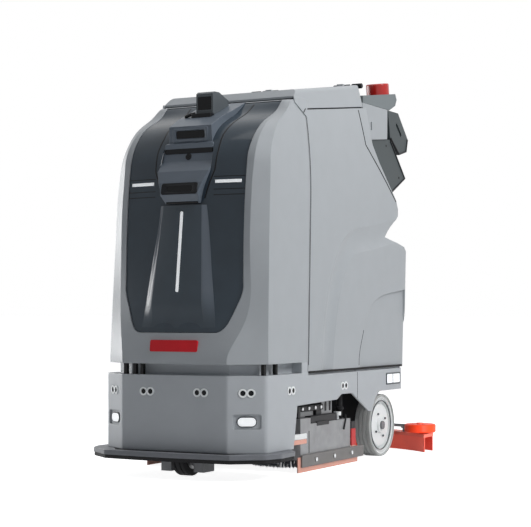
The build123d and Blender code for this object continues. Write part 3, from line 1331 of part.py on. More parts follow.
def solution_tank():
    """Clean-water tank above the battery, hollow, with its fill neck."""
    z = (BATTERY_TOP_Z + HANDLE_H, WATER_TOP_Z)
    y = (STACK_REAR_Y - WATER_L, STACK_REAR_Y)
    wall = WATER_WALL
    inner = WATER_HALF_W - wall
    tank = block((-WATER_HALF_W, WATER_HALF_W), y, z)
    tank -= block((-inner, inner), (y[0] + wall, y[1] - wall), (z[0] + wall, z[1] - wall))
    neck_x, neck_y = -WATER_HALF_W + 2 * FILL_NECK_R, (y[0] + y[1]) / 2
    tank += rod_z(FILL_NECK_R, neck_x, neck_y, (z[1], z[1] + FILL_NECK_H))
    return tank - rod_z(FILL_NECK_R - wall, neck_x, neck_y, (z[1] - wall, z[1] + FILL_NECK_H))


CONTROL_TOP_Z = WATER_TOP_Z + CONTROL_H


def control_unit():
    """Controller box with cooling fins on the clean-water tank."""
    y = (STACK_REAR_Y - CONTROL_L, STACK_REAR_Y)
    box = block(CONTROL_X, y, (WATER_TOP_Z, CONTROL_TOP_Z))
    for step in range(FIN_COUNT):
        start = y[0] + FIN_STEP * (step + 0.5)
        fin_x = (CONTROL_X[0] + FIN_H, CONTROL_X[1] - FIN_H)
        box += block(fin_x, (start, start + FIN_T), (CONTROL_TOP_Z, CONTROL_TOP_Z + FIN_H))
    return box


def vacuum_motor():
    """Suction motor on top of the controller."""
    low = CONTROL_TOP_Z + FIN_H
    y = STACK_REAR_Y - VACUUM_R - CLEAR
    motor = rod_z(VACUUM_R, VACUUM_X, y, (low, low + VACUUM_H))
    return motor + rod_z(VACUUM_TOP_R, VACUUM_X, y, (low + VACUUM_H, low + VACUUM_H + VACUUM_TOP_H))


# Console


def console_frame():
    """Light column on the sloping back of the tank, with the neck that carries the display."""
    back = [(TANK_TOP_REAR_Y, seam_z(TANK_TOP_REAR_Y)), *at_rear(TANK_BACK)]
    rest = at_rear((BOX[4], BOX[0], *reversed(COLUMN_TOP)))
    skin = side_view([*[(y + CONSOLE_SEAM, z) for y, z in back], *rest], CONSOLE_HALF_W)
    frame = skin + side_view([*back, *rest], CONSOLE_HALF_W - CONSOLE_CORE_INSET)
    frame -= side_view(at_rear(COLUMN_POCKET), CONSOLE_HALF_W - 2 * CONSOLE_CORE_INSET)
    frame += side_view(at_rear(NECK), NECK_HALF_W)
    slot_y = [TANK_REAR_Y + y for y in COLUMN_SLOT[0]]
    slot_z = [BODY_BOTTOM_Z + z for z in COLUMN_SLOT[1]]
    slot_x = (CONSOLE_HALF_W - CONSOLE_WALL, CONSOLE_HALF_W + CLEAR)
    return frame - both_sides(block(slot_x, slot_y, slot_z))


def console_hood():
    """Hood over the console, hollow from below."""
    pocket = side_view(at_rear(HOOD_POCKET), CONSOLE_HALF_W - CONSOLE_WALL)
    return side_view(at_rear(HOOD), CONSOLE_HALF_W) - pocket


def lower_console_box():
    """Dark box under the display, open towards the column."""
    pocket = side_view(at_rear(BOX_POCKET), BOX_HALF_W - CONSOLE_WALL)
    return side_view(at_rear(BOX), BOX_HALF_W) - pocket


SCREEN_TOP, SCREEN_LOW = at_rear(DISPLAY[1:3])
SCREEN_PLANE = Plane(
    origin=(0, (SCREEN_TOP[0] + SCREEN_LOW[0]) / 2, (SCREEN_TOP[1] + SCREEN_LOW[1]) / 2),
    x_dir=(-1, 0, 0),
    z_dir=(0, SCREEN_TOP[1] - SCREEN_LOW[1], SCREEN_LOW[0] - SCREEN_TOP[0]),
)


def button_plane(y):
    """Plane of a button on the display's face."""
    return Plane(SCREEN_PLANE.location * Pos(-BUTTON_X, y, 0))


def display_housing():
    """Display housing, open towards the neck, with a hand slot in each side."""
    housing = side_view(at_rear(DISPLAY), DISPLAY_HALF_W)
    pocket_half_w = DISPLAY_HALF_W - HAND_SLOT_DEPTH - CONSOLE_WALL
    housing -= side_view(at_rear(DISPLAY_POCKET), pocket_half_w)
    frame = (2 * SCREEN_HALF_W, 2 * SCREEN_HALF_H)
    housing -= slab(SCREEN_PLANE, *frame, (-SCREEN_T - SCREEN_SINK, 1), 8)
    housing += slab(SCREEN_PLANE, *frame, (-2 * SCREEN_T - SCREEN_SINK, -SCREEN_T - SCREEN_SINK), 8)
    housing -= disc(button_plane(ESTOP_Y), ESTOP_STEM_R + FREE_FIT, (-6 * BUTTON_STEM, 1))
    housing -= disc(button_plane(POWER_Y), POWER_R + FREE_FIT, (-6 * BUTTON_STEM, 1))
    (start, end) = at_rear(HAND_SLOT)
    along = Vector(0, end[0] - start[0], end[1] - start[1])
    middle = (DISPLAY_HALF_W, (start[0] + end[0]) / 2, (start[1] + end[1]) / 2)
    plane = Plane(origin=middle, x_dir=along, z_dir=(1, 0, 0))
    grip = slab(plane, along.length, HAND_SLOT_W, (-HAND_SLOT_DEPTH, 1), HAND_SLOT_W / 2 - 1)
    return housing - both_sides(grip)


def touch_screen():
    """Glass of the display."""
    depth = (-SCREEN_T - SCREEN_SINK, -SCREEN_SINK)
    return slab(SCREEN_PLANE, 2 * SCREEN_HALF_W, 2 * SCREEN_HALF_H, depth, 8)


def estop_button():
    """Red emergency-stop button, free to press in."""
    plane = button_plane(ESTOP_Y)
    rise = ESTOP_TRAVEL + CLEAR
    button = disc(plane, ESTOP_STEM_R, (-BUTTON_STEM, rise))
    return button + disc(plane, ESTOP_R, (rise, rise + ESTOP_CAP_H))


def power_button():
    """Power button, free to press in."""
    return disc(button_plane(POWER_Y), POWER_R, (-BUTTON_STEM, POWER_TRAVEL + 1))


def beacon_lens():
    """Red lens of the warning beacon on top of the hood."""
    (_, front, rear, *_) = at_rear(HOOD)
    slope = atan2(rear[1] - front[1], rear[0] - front[0])
    z = front[1] + (BEACON_Y - front[0]) * (rear[1] - front[1]) / (rear[0] - front[0])
    plane = Plane(origin=(BEACON_X, BEACON_Y, z), x_dir=(1, 0, 0), z_dir=(0, -sin(slope), cos(slope)))
    lens = disc(plane, BEACON_R, (0, BEACON_H))
    return fillet(lens.edges().group_by(Axis.Z)[-1], 6)


MAKERS = (
    base_shell,
    sensor_rings,
    sensor_cores,
    lamp_lenses,
    slot_posts,
    contact_bumper,
    bumper_edge,
    chassis_frame,
    steer_unit,
    drive_fork,
    drive_tyre,
    drive_hub,
    rear_axle,
    left_tyre,
    left_hub,
    brush_deck,
    brush_motors,
    left_brush_disc,
    left_bristles,
    side_blades,
    side_skirts,
    skirt_bolts,
    deck_knobs,
    lift_actuator,
    lift_rod,
    squeegee_body,
    front_blade,
    rear_blade,
    left_roller,
    squeegee_arm,
    front_shell,
    fascia_panel,
    fascia_insert,
    light_strips,
    nameplate,
    sensor_pod,
    camera_windows,
    top_sensor,
    recovery_tank,
    tank_lid,
    lid_gasket,
    lid_hinges,
    battery_pack,
    solution_tank,
    control_unit,
    vacuum_motor,
    console_frame,
    console_hood,
    lower_console_box,
    display_housing,
    touch_screen,
    estop_button,
    power_button,
    beacon_lens,
)

for maker in MAKERS:
    piece = maker()
    save(maker.__name__, piece)
    if maker.__name__.startswith("left_"):
        save(maker.__name__.replace("left_", "right_"), mirror(piece, about=Plane.YZ))
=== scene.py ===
"""Looks of the driverless floor scrubber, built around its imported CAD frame. Metres."""
import random
from math import cos, pi, radians, sin

import bmesh
import bpy
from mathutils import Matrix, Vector


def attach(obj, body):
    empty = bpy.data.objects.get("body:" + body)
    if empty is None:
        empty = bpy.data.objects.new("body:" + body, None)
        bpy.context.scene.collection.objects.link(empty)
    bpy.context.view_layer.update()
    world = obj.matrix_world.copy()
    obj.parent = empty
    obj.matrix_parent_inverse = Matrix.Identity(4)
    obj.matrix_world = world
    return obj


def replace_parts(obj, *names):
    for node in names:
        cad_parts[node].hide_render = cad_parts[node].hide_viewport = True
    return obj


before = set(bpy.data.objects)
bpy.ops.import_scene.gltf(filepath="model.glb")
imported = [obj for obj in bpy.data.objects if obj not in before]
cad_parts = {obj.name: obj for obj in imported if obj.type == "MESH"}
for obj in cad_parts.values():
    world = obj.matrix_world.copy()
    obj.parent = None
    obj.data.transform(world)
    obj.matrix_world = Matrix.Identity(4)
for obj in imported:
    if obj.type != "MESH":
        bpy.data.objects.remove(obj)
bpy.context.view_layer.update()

# Directions of the machine; its sides are mirror images
FRONT = Vector((0, -1, 0))
LEFT = Vector((1, 0, 0))
UP = Vector((0, 0, 1))
SIDES = (-1, 1)

# Camera: where the photograph was taken from
CAMERA_AT = (2.540, -4.801, 0.5228)
CAMERA_TURN = radians(28.14)
CAMERA_TILT = radians(1.89)
CAMERA_LENS = 102.7
CAMERA_SENSOR = 36.0

# Lamps: name, place, what they face, size, power and spread of the beam in degrees
LAMPS = (
    ("key", (3.9, -0.35, 3.0), (0, 0, 0.7), 1.6, 117, 180),
    ("top", (0.6, 0.0, 4.5), (0, 0.1, 0.7), 3.5, 60, 180),
    ("low", (2.6, -1.2, 0.32), (0.40, 0.67, 0.06), 0.2, 0.42, 9),
    ("rim", (-3.8, 0.5, 1.2), (0, 0, 0.7), 2.0, 66, 180),
    ("glint", (-3.6, -1.15, 0.75), (0, -0.6, 0.65), 0.9, 11, 180),
)
WORLD_TINT = (0.80, 0.88, 1.0, 1)
WORLD_STRENGTH = 0.118
FLOOR_SIZE = 400
FLOOR_COLOR = (0.85, 0.85, 0.85, 1)
FLOOR_ROUGHNESS = 0.9
FLOOR_SHINE = 0.1
FLOOR_GLOW = 0.90
WHITE = (1, 1, 1, 1)


def add_camera():
    """Camera at the photograph's viewing angle."""
    data = bpy.data.cameras.new("camera")
    data.lens = CAMERA_LENS
    data.sensor_width = CAMERA_SENSOR
    camera = bpy.data.objects.new("camera", data)
    bpy.context.collection.objects.link(camera)
    camera.location = CAMERA_AT
    camera.rotation_euler = (radians(90) + CAMERA_TILT, 0.0, CAMERA_TURN)
    bpy.context.scene.camera = camera


def add_lamp(name, at, aim, size, power, spread):
    """Soft square lamp that faces a point, its beam as wide as the spread in degrees."""
    data = bpy.data.lights.new(name, "AREA")
    data.size = size
    data.energy = power
    data.spread = radians(spread)
    lamp = bpy.data.objects.new(name, data)
    bpy.context.collection.objects.link(lamp)
    lamp.location = at
    lamp.rotation_euler = (Vector(aim) - Vector(at)).to_track_quat("-Z", "Y").to_euler()


def seen_rays(nodes, links):
    """Switch that is on for what the camera, a mirror or clear glass shows, and off for light."""
    path = nodes.new("ShaderNodeLightPath")
    clear = nodes.new("ShaderNodeMath")
    clear.operation = "MAXIMUM"
    links.new(path.outputs["Is Camera Ray"], clear.inputs[0])
    links.new(path.outputs["Is Transmission Ray"], clear.inputs[1])
    seen = nodes.new("ShaderNodeMath")
    seen.operation = "MAXIMUM"
    links.new(clear.outputs[0], seen.inputs[0])
    links.new(path.outputs["Is Glossy Ray"], seen.inputs[1])
    return seen.outputs[0]


def add_world():
    """White to the eye and in reflections, dim as a light."""
    world = bpy.data.worlds.new("studio")
    world.use_nodes = True
    bpy.context.scene.world = world
    nodes = world.node_tree.nodes
    links = world.node_tree.links
    white = nodes.new("ShaderNodeBackground")
    white.inputs["Color"].default_value = WHITE
    dim = nodes.new("ShaderNodeBackground")
    dim.inputs["Color"].default_value = WORLD_TINT
    dim.inputs["Strength"].default_value = WORLD_STRENGTH
    mix = nodes.new("ShaderNodeMixShader")
    links.new(seen_rays(nodes, links), mix.inputs["Fac"])
    links.new(dim.outputs[0], mix.inputs[1])
    links.new(white.outputs[0], mix.inputs[2])
    links.new(mix.outputs[0], nodes["World Output"].inputs["Surface"])


def new_material(name):
    """New material with its nodes, its links and its shader."""
    material = bpy.data.materials.new(name)
    material.use_nodes = True
    nodes = material.node_tree.nodes
    return material, nodes, material.node_tree.links, nodes["Principled BSDF"]


def add_floor():
    """Plain pale floor."""
    bpy.ops.mesh.primitive_plane_add(size=FLOOR_SIZE, location=(0, 0, 0))
    floor = bpy.context.object
    floor.name = "floor"
    material, nodes, links, shader = new_material("floor")
    shader.inputs["Base Color"].default_value = FLOOR_COLOR
    shader.inputs["Roughness"].default_value = FLOOR_ROUGHNESS
    shader.inputs["Specular IOR Level"].default_value = FLOOR_SHINE
    glow = nodes.new("ShaderNodeMath")
    glow.operation = "MULTIPLY"
    glow.inputs[1].default_value = FLOOR_GLOW
    links.new(seen_rays(nodes, links), glow.inputs[0])
    links.new(glow.outputs[0], shader.inputs["Emission Strength"])
    shader.inputs["Emission Color"].default_value = WHITE
    floor.data.materials.append(material)


# What all finishes share: noise of the mottling, swing of the gloss, grain and samples of an edge
MOTTLE_DETAIL = 4.0
MOTTLE_RANGE = (0.3, 0.7)
GLOSS_SWING = 0.05
LEAST_ROUGH = 0.02
GRAIN_DETAIL = 2.0
GRAIN_DEPTH = 0.0004
EDGE_SAMPLES = 6


def finish(
    name, color, rough, metal=0.0, mottle=0.06, grain=900.0, bump=0.15,
    edge=0.0015, spread=14.0, shine=0.30, glow=0.0,
):
    """Procedural finish: a colour with slight mottling, uneven gloss, fine grain and softened edges."""
    material, nodes, links, shader = new_material(name)
    place = nodes.new("ShaderNodeTexCoord")
    cloud = nodes.new("ShaderNodeTexNoise")
    cloud.inputs["Scale"].default_value = spread
    cloud.inputs["Detail"].default_value = MOTTLE_DETAIL
    links.new(place.outputs["Object"], cloud.inputs["Vector"])
    tint = nodes.new("ShaderNodeValToRGB")
    dark, pale = tint.color_ramp.elements
    dark.position, pale.position = MOTTLE_RANGE
    dark.color = (*[c * (1 - mottle) for c in color], 1)
    pale.color = (*[min(1.0, c * (1 + mottle)) for c in color], 1)
    links.new(cloud.outputs["Fac"], tint.inputs["Fac"])
    links.new(tint.outputs["Color"], shader.inputs["Base Color"])
    gloss = nodes.new("ShaderNodeMapRange")
    gloss.inputs["To Min"].default_value = max(LEAST_ROUGH, rough - GLOSS_SWING)
    gloss.inputs["To Max"].default_value = min(1.0, rough + GLOSS_SWING)
    links.new(cloud.outputs["Fac"], gloss.inputs["Value"])
    links.new(gloss.outputs["Result"], shader.inputs["Roughness"])
    speck = nodes.new("ShaderNodeTexNoise")
    speck.inputs["Scale"].default_value = grain
    speck.inputs["Detail"].default_value = GRAIN_DETAIL
    links.new(place.outputs["Object"], speck.inputs["Vector"])
    relief = nodes.new("ShaderNodeBump")
    relief.inputs["Strength"].default_value = bump
    relief.inputs["Distance"].default_value = GRAIN_DEPTH
    links.new(speck.outputs["Fac"], relief.inputs["Height"])
    if edge:
        soft = nodes.new("ShaderNodeBevel")
        soft.samples = EDGE_SAMPLES
        soft.inputs["Radius"].default_value = edge
        links.new(soft.outputs["Normal"], relief.inputs["Normal"])
    links.new(relief.outputs["Normal"], shader.inputs["Normal"])
    shader.inputs["Metallic"].default_value = metal
    shader.inputs["Specular IOR Level"].default_value = shine
    shader.inputs["Emission Color"].default_value = (*color, 1)
    shader.inputs["Emission Strength"].default_value = glow
    return material


# Sockets of a mix node that holds colours
MIX_FIRST = 6
MIX_SECOND = 7
MIX_RESULT = 2


def tint_above(material, low, high, color):
    """Let the colour of a finish change over to a second one between two heights."""
    nodes = material.node_tree.nodes
    links = material.node_tree.links
    place = nodes.new("ShaderNodeTexCoord")
    parts = nodes.new("ShaderNodeSeparateXYZ")
    links.new(place.outputs["Object"], parts.inputs["Vector"])
    share = nodes.new("ShaderNodeMapRange")
    share.inputs["From Min"].default_value = low
    share.inputs["From Max"].default_value = high
    links.new(parts.outputs["Z"], share.inputs["Value"])
    shader = nodes["Principled BSDF"]
    lower = shader.inputs["Base Color"].links[0].from_socket
    mix = nodes.new("ShaderNodeMix")
    mix.data_type = "RGBA"
    links.new(share.outputs["Result"], mix.inputs["Factor"])
    links.new(lower, mix.inputs[MIX_FIRST])
    mix.inputs[MIX_SECOND].default_value = (*color, 1)
    links.new(mix.outputs[MIX_RESULT], shader.inputs["Base Color"])


# Colours that two finishes share
KEEL_TINT = (0.050, 0.070, 0.090)
SALMON_TINT = (0.84, 0.42, 0.33)

BODY = finish("body_grey_paint", (0.400, 0.423, 0.443), 0.42, edge=0.004, mottle=0.02, bump=0.06)
BASE = finish("base_grey_paint", (0.465, 0.488, 0.512), 0.45, edge=0.005, mottle=0.025, bump=0.10)
HOOD = finish("hood_grey_plastic", (0.175, 0.200, 0.210), 0.45, edge=0.004, mottle=0.03, bump=0.10)
BUMPER = finish("bumper_plastic", (0.17, 0.178, 0.195), 0.45, edge=0.004, mottle=0.06)
GRAPHITE = finish("graphite_plastic", (0.090, 0.103, 0.112), 0.48, edge=0.003, mottle=0.05)
CONSOLE = finish("console_plastic", (0.050, 0.062, 0.066), 0.45, edge=0.003, mottle=0.06)
POD = finish("pod_plastic", (0.130, 0.156, 0.190), 0.36, edge=0.003, mottle=0.04, bump=0.12)
GLOSS = finish("black_plastic", (0.006, 0.007, 0.009), 0.35, edge=0.0008, mottle=0.10, bump=0.10, shine=0.15)
FASCIA = finish("fascia_gloss", (0.044, 0.063, 0.083), 0.14, edge=0.003, mottle=0.04, bump=0.0, shine=0.22)
KEEL = finish("keel_gloss", KEEL_TINT, 0.18, edge=0.0, mottle=0.04, bump=0.0, shine=0.26)
# The flanks' finish is the keel's own colour made lighter above their foot: a painted highlight
FLANK_HIGHLIGHT = finish("keel_flank_painted_highlight", KEEL_TINT, 0.20, edge=0.0, mottle=0.04, bump=0.0, shine=0.28)
tint_above(FLANK_HIGHLIGHT, 0.490, 0.600, (0.105, 0.125, 0.152))
LIGHT = finish("lamp_diffuser", (0.95, 0.97, 0.98), 0.22, edge=0.001, mottle=0.02, bump=0.05, glow=0.35)
PLATE = finish("red_plate", (0.70, 0.018, 0.028), 0.35, edge=0.001, mottle=0.05, shine=0.2)
WINDOW = finish("camera_glass", (0.004, 0.005, 0.007), 0.08, edge=0.0008, mottle=0.1, bump=0.0, shine=0.15)
BLACK = finish("black_metal", (0.014, 0.014, 0.016), 0.50, edge=0.0015, mottle=0.15, shine=0.25)
STEEL = finish("bright_steel", (0.55, 0.56, 0.57), 0.30, metal=1.0, edge=0.001, mottle=0.10)
DECK = finish("deck_zinc", (0.28, 0.284, 0.292), 0.42, metal=0.35, edge=0.002, mottle=0.14, spread=22)
ALLOY = finish("cast_alloy", (0.20, 0.205, 0.215), 0.55, metal=0.4, edge=0.002, mottle=0.15, bump=0.4)
TYRE = finish("tyre_rubber", (0.52, 0.53, 0.52), 0.80, edge=0.001, mottle=0.16, bump=0.5, grain=500)
TYRE_DARK = finish("drive_rubber", (0.02, 0.02, 0.022), 0.80, edge=0.001, mottle=0.2, bump=0.5, grain=500)
HUB = finish("hub_plastic", (0.93, 0.95, 0.95), 0.40, edge=0.002, mottle=0.02)
RUBBER = finish("black_rubber", (0.010, 0.010, 0.011), 0.70, edge=0.001, mottle=0.2, bump=0.4, shine=0.2)
SKIRT = finish("skirt_plastic", (0.195, 0.187, 0.182), 0.50, edge=0.0015, mottle=0.10)
BLADE = finish("pale_red_rubber", (0.95, 0.145, 0.098), 0.50, edge=0.001, mottle=0.06, shine=0.2)
ROLLER = finish("red_rubber", (0.86, 0.056, 0.016), 0.42, edge=0.001, mottle=0.08, shine=0.18)
SALMON = finish("salmon_rubber", SALMON_TINT, 0.45, edge=0.001, mottle=0.06)
STRIPS = finish("blade_and_strip_rubber", SALMON_TINT, 0.45, edge=0.001, mottle=0.06)
tint_above(STRIPS, 0.060, 0.061, (0.62, 0.030, 0.030))
SQUEEGEE = finish("red_paint", (0.78, 0.125, 0.080), 0.42, edge=0.0015, mottle=0.06)
BRISTLE = finish("nylon_bristle", (0.42, 0.45, 0.50), 0.45, edge=0.0, mottle=0.25, spread=60)
WATER = finish("tank_plastic", (0.75, 0.77, 0.78), 0.45, mottle=0.04)
BATTERY = finish("battery_plastic", (0.04, 0.04, 0.045), 0.55, mottle=0.1)
BEACON = finish("beacon_lens", (0.50, 0.014, 0.010), 0.15, mottle=0.05, bump=0.0, shine=0.5)
SCREEN = finish("screen_glass", (0.010, 0.012, 0.018), 0.05, mottle=0.05, bump=0.0, shine=0.5)

NODE_FINISH = {
    "base_shell": BASE,
    "sensor_rings": HUB,
    "sensor_cores": WINDOW,
    "lamp_lenses": LIGHT,
    "slot_posts": RUBBER,
    "contact_bumper": BUMPER,
    "bumper_edge": RUBBER,
    "chassis_frame": BLACK,
    "steer_unit": ALLOY,
    "drive_fork": ALLOY,
    "drive_tyre": TYRE_DARK,
    "drive_hub": STEEL,
    "rear_axle": ALLOY,
    "left_tyre": TYRE,
    "right_tyre": TYRE,
    "left_hub": HUB,
    "right_hub": HUB,
    "brush_deck": DECK,
    "brush_motors": BLACK,
    "left_brush_disc": GRAPHITE,
    "right_brush_disc": GRAPHITE,
    "side_blades": STRIPS,
    "side_skirts": SKIRT,
    "skirt_bolts": STEEL,
    "deck_knobs": HUB,
    "lift_actuator": BLACK,
    "lift_rod": STEEL,
    "squeegee_body": SQUEEGEE,
    "front_blade": BLADE,
    "rear_blade": BLADE,
    "left_roller": ROLLER,
    "right_roller": ROLLER,
    "squeegee_arm": BLACK,
    "front_shell": BODY,
    "fascia_panel": FASCIA,
    "fascia_insert": KEEL,
    "light_strips": LIGHT,
    "nameplate": PLATE,
    "sensor_pod": POD,
    "camera_windows": WINDOW,
    "top_sensor": GRAPHITE,
    "recovery_tank": BODY,
    "tank_lid": BODY,
    "lid_gasket": RUBBER,
    "lid_hinges": GRAPHITE,
    "battery_pack": BATTERY,
    "solution_tank": WATER,
    "control_unit": ALLOY,
    "vacuum_motor": ALLOY,
    "console_frame": BODY,
    "console_hood": HOOD,
    "lower_console_box": CONSOLE,
    "display_housing": CONSOLE,
    "touch_screen": SCREEN,
    "estop_button": BEACON,
    "power_button": HUB,
    "beacon_lens": BEACON,
}


def dress_nodes():
    """Give every shown CAD node its finish."""
    for name, material in NODE_FINISH.items():
        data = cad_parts[name].data
        data.materials.clear()
        data.materials.append(material)


# Edges that bend more than this stay crisp
SHARP_ANGLE = radians(35)


def add_piece(name, shape, material, body, slot):
    """Turn a built shape into a piece that rides on a body."""
    mesh = bpy.data.meshes.new(name)
    bmesh.ops.recalc_face_normals(shape, faces=shape.faces)
    shape.to_mesh(mesh)
    shape.free()
    for face in mesh.polygons:
        face.use_smooth = True
    mesh.set_sharp_from_angle(angle=SHARP_ANGLE)
    piece = bpy.data.objects.new(name, mesh)
    bpy.context.collection.objects.link(piece)
    mesh.materials.append(material)
    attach(piece, body)
    return piece


def close_loops(shape, loops, ends=True):
    """Skin a row of closed loops of points, with caps on the first and the last."""
    rings = [[shape.verts.new(point) for point in loop] for loop in loops]
    for ring, other in zip(rings, rings[1:]):
        for i in range(len(ring)):
            j = (i + 1) % len(ring)
            shape.faces.new((ring[i], ring[j], other[j], other[i]))
    if ends:
        shape.faces.new(rings[0])
        shape.faces.new(reversed(rings[-1]))


def rounded_loop(half_w, half_h, corner, steps=4):
    """Points round a rectangle with round corners, in its own plane."""
    points = []
    for turn, (sx, sy) in enumerate(((1, 1), (-1, 1), (-1, -1), (1, -1))):
        for step in range(steps + 1):
            angle = (turn + step / steps) * pi / 2
            x = sx * (half_w - corner) + corner * cos(angle)
            y = sy * (half_h - corner) + corner * sin(angle)
            points.append((x, y))
    return points


def plane_at(centre, normal, across=(1, 0, 0)):
    """Function that places points of a plane: along it, up it and out of it."""
    out = Vector(normal).normalized()
    right = (Vector(across) - out * out.dot(Vector(across))).normalized()
    up = out.cross(right)
    middle = Vector(centre)

    def place(x, y, z):
        return middle + right * x + up * y + out * z

    return place


def side_plane(side, x, y, z):
    """Placing function of a plane that faces one side of the machine."""
    return plane_at((side * x, y, z), (side, 0, 0), (0, side, 0))


def on_side(side, route):
    """Points of a route on one side of the machine."""
    return [(side * x, y, z) for x, y, z in route]


# Corner of a square against its half width that makes it a circle, just short of a whole one
ROUND = 0.999


def ring_steps(radii):
    """Steps of a round ring for add_frame, from radius and height of each."""
    return [(r, r, ROUND * r, height) for r, height in radii]


# Points of a frame that lie closer than this are one
SAME_POINT = 1e-7


def add_frame(shape, place, steps, corner_steps=4):
    """Ring of rounded rectangles: half width, half height, corner and height of each."""
    loops = []
    for half_w, half_h, corner, height in steps:
        outline = rounded_loop(half_w, half_h, corner, corner_steps)
        loops.append([place(x, y, height) for x, y in outline])
    loops.append(loops[0])
    close_loops(shape, loops, ends=False)
    bmesh.ops.remove_doubles(shape, verts=shape.verts, dist=SAME_POINT)


# Smallest corner of a plate, and bevel of a block and corner against its bevel
LEAST_CORNER = 1e-4
BLOCK_EDGE = 0.0015
BLOCK_CORNER = 1.5


def add_slab(shape, place, half_w, half_h, corner, low, high, edge):
    """Plate with round corners that reaches from low to high, with a bevel round its outer face."""
    sizes = ((0, low), (0, high - edge), (edge, high))
    loops = []
    for inset, height in sizes:
        outline = rounded_loop(half_w - inset, half_h - inset, max(corner - inset, LEAST_CORNER))
        loops.append([place(x, y, height) for x, y in outline])
    close_loops(shape, loops)


def add_side_block(shape, side, y, z, face, depth):
    """Block with eased edges that faces one side of the machine."""
    half_w, half_h = (y[1] - y[0]) / 2, (z[1] - z[0]) / 2
    edge = min(BLOCK_EDGE, half_w / 3, half_h / 3)
    place = side_plane(side, face, sum(y) / 2, sum(z) / 2)
    add_slab(shape, place, half_w, half_h, BLOCK_CORNER * edge, -depth, 0, edge)


# Rods: sides of their round, and share of the radius by which their ends are eased
ROD_SIDES = 12
ROD_END = 0.25


def circle(point, side, along, radius):
    """Points round a spot of a rod."""
    other = along.cross(side)
    turns = [2 * pi * k / ROD_SIDES for k in range(ROD_SIDES)]
    return [point + side * radius * cos(turn) + other * radius * sin(turn) for turn in turns]


def add_rod(shape, path, radius):
    """Round bar along a row of points, its ends slightly rounded off."""
    points = [Vector(point) for point in path]
    rings = []
    for i, point in enumerate(points):
        along = (points[min(i + 1, len(points) - 1)] - points[max(i - 1, 0)]).normalized()
        side = along.orthogonal().normalized() if i == 0 else rings[-1][1]
        side = (side - along * side.dot(along)).normalized()
        rings.append((point, side, along))
    loops = [circle(*rings[0], (1 - ROD_END) * radius)]
    for i, (point, side, along) in enumerate(rings):
        shift = ROD_END * radius * ((i == 0) - (i == len(rings) - 1))
        loops.append(circle(point + along * shift, side, along, radius))
    loops.append(circle(*rings[-1], (1 - ROD_END) * radius))
    close_loops(shape, loops)


# How far outside a line starts that looks for the surface of a node
OUTSIDE = 2.0


def hit(node, spot, facing):
    """Point and outward direction where a line coming in from outside meets a CAD node."""
    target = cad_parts[node]
    inverse = target.matrix_world.inverted()
    start = inverse @ (Vector(spot) + facing * OUTSIDE)
    found, point, normal, _ = target.ray_cast(start, inverse.to_3x3() @ -facing)
    if not found:
        return None
    return target.matrix_world @ point, (target.matrix_world.to_3x3() @ normal).normalized()


# Raised lines: steps between two points of the route, and width of the top against the foot
TRIM_STEPS = 24
TRIM_TOP = 0.6


def add_trim(shape, node, route, facing, width, rise):
    """Thin raised line on a CAD node along a route of points, seen from one direction."""
    spots = []
    for start, end in zip(route, route[1:]):
        for step in range(TRIM_STEPS):
            spots.append(Vector(start).lerp(Vector(end), step / TRIM_STEPS))
    spots.append(route[-1])
    found = [hit(node, spot, facing) for spot in spots]
    found = [spot for spot in found if spot]
    loops = []
    for i, (point, normal) in enumerate(found):
        along = (found[min(i + 1, len(found) - 1)][0] - found[max(i - 1, 0)][0]).normalized()
        side = normal.cross(along).normalized() * width / 2
        up = normal * rise
        top = TRIM_TOP * side
        loops.append([point - side - up, point - top + up, point + top + up, point + side - up])
    close_loops(shape, loops)


# Brushes: their axes, rings of tufts, and the strands of a tuft
BRUSH_X = 0.140
BRUSH_Y = -0.130
TUFT_RINGS = (0.068, 0.081, 0.094, 0.107, 0.119, 0.1295)
TUFT_STEP = 0.0115
TUFT_TWIST = 40
STRANDS = 5
STRAND_SIDES = 3
STRAND_LEAN = 0.0035
STRAND_TAPER = ((0.0, 0.0013), (0.5, 0.0012), (1.0, 0.0008))
BRISTLE_TOP = 0.062
BRISTLE_FOOT = 0.002
FOOT_SCATTER = 0.003
BRISTLE_SEED = 11


def add_bristles(name, x, node, body):
    """Brush of bundled strands in rings under its plate."""
    chance = random.Random(BRISTLE_SEED)
    shape = bmesh.new()
    for ring in TUFT_RINGS:
        count = round(2 * pi * ring / TUFT_STEP)
        for tuft in range(count):
            turn = 2 * pi * tuft / count + ring * TUFT_TWIST
            for _ in range(STRANDS):
                lean = chance.uniform(-STRAND_LEAN, STRAND_LEAN)
                spread = chance.uniform(-STRAND_LEAN, STRAND_LEAN)
                reach = ring + lean / 2
                root = Vector((reach * cos(turn), reach * sin(turn), BRISTLE_TOP))
                out = Vector((cos(turn), sin(turn), 0)) * lean
                aside = Vector((-sin(turn), cos(turn), 0)) * spread
                foot = BRISTLE_FOOT + chance.uniform(0, FOOT_SCATTER)
                loops = []
                for share, r in STRAND_TAPER:
                    middle = root + (out + aside) * share * share
                    middle.z = BRISTLE_TOP + share * (foot - BRISTLE_TOP)
                    turns = [2 * pi * k / STRAND_SIDES + turn for k in range(STRAND_SIDES)]
                    loops.append([middle + Vector((r * cos(a), r * sin(a), 0)) for a in turns])
                close_loops(shape, loops)
    bmesh.ops.translate(shape, verts=shape.verts, vec=(x, BRUSH_Y, 0))
    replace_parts(add_piece(name, shape, BRISTLE, body, "bristle"), node)


# Trims here and below: a frame's steps are half width, half height, corner and height of each,
# and a plate is half width, half height, corner, bottom, top and bevel

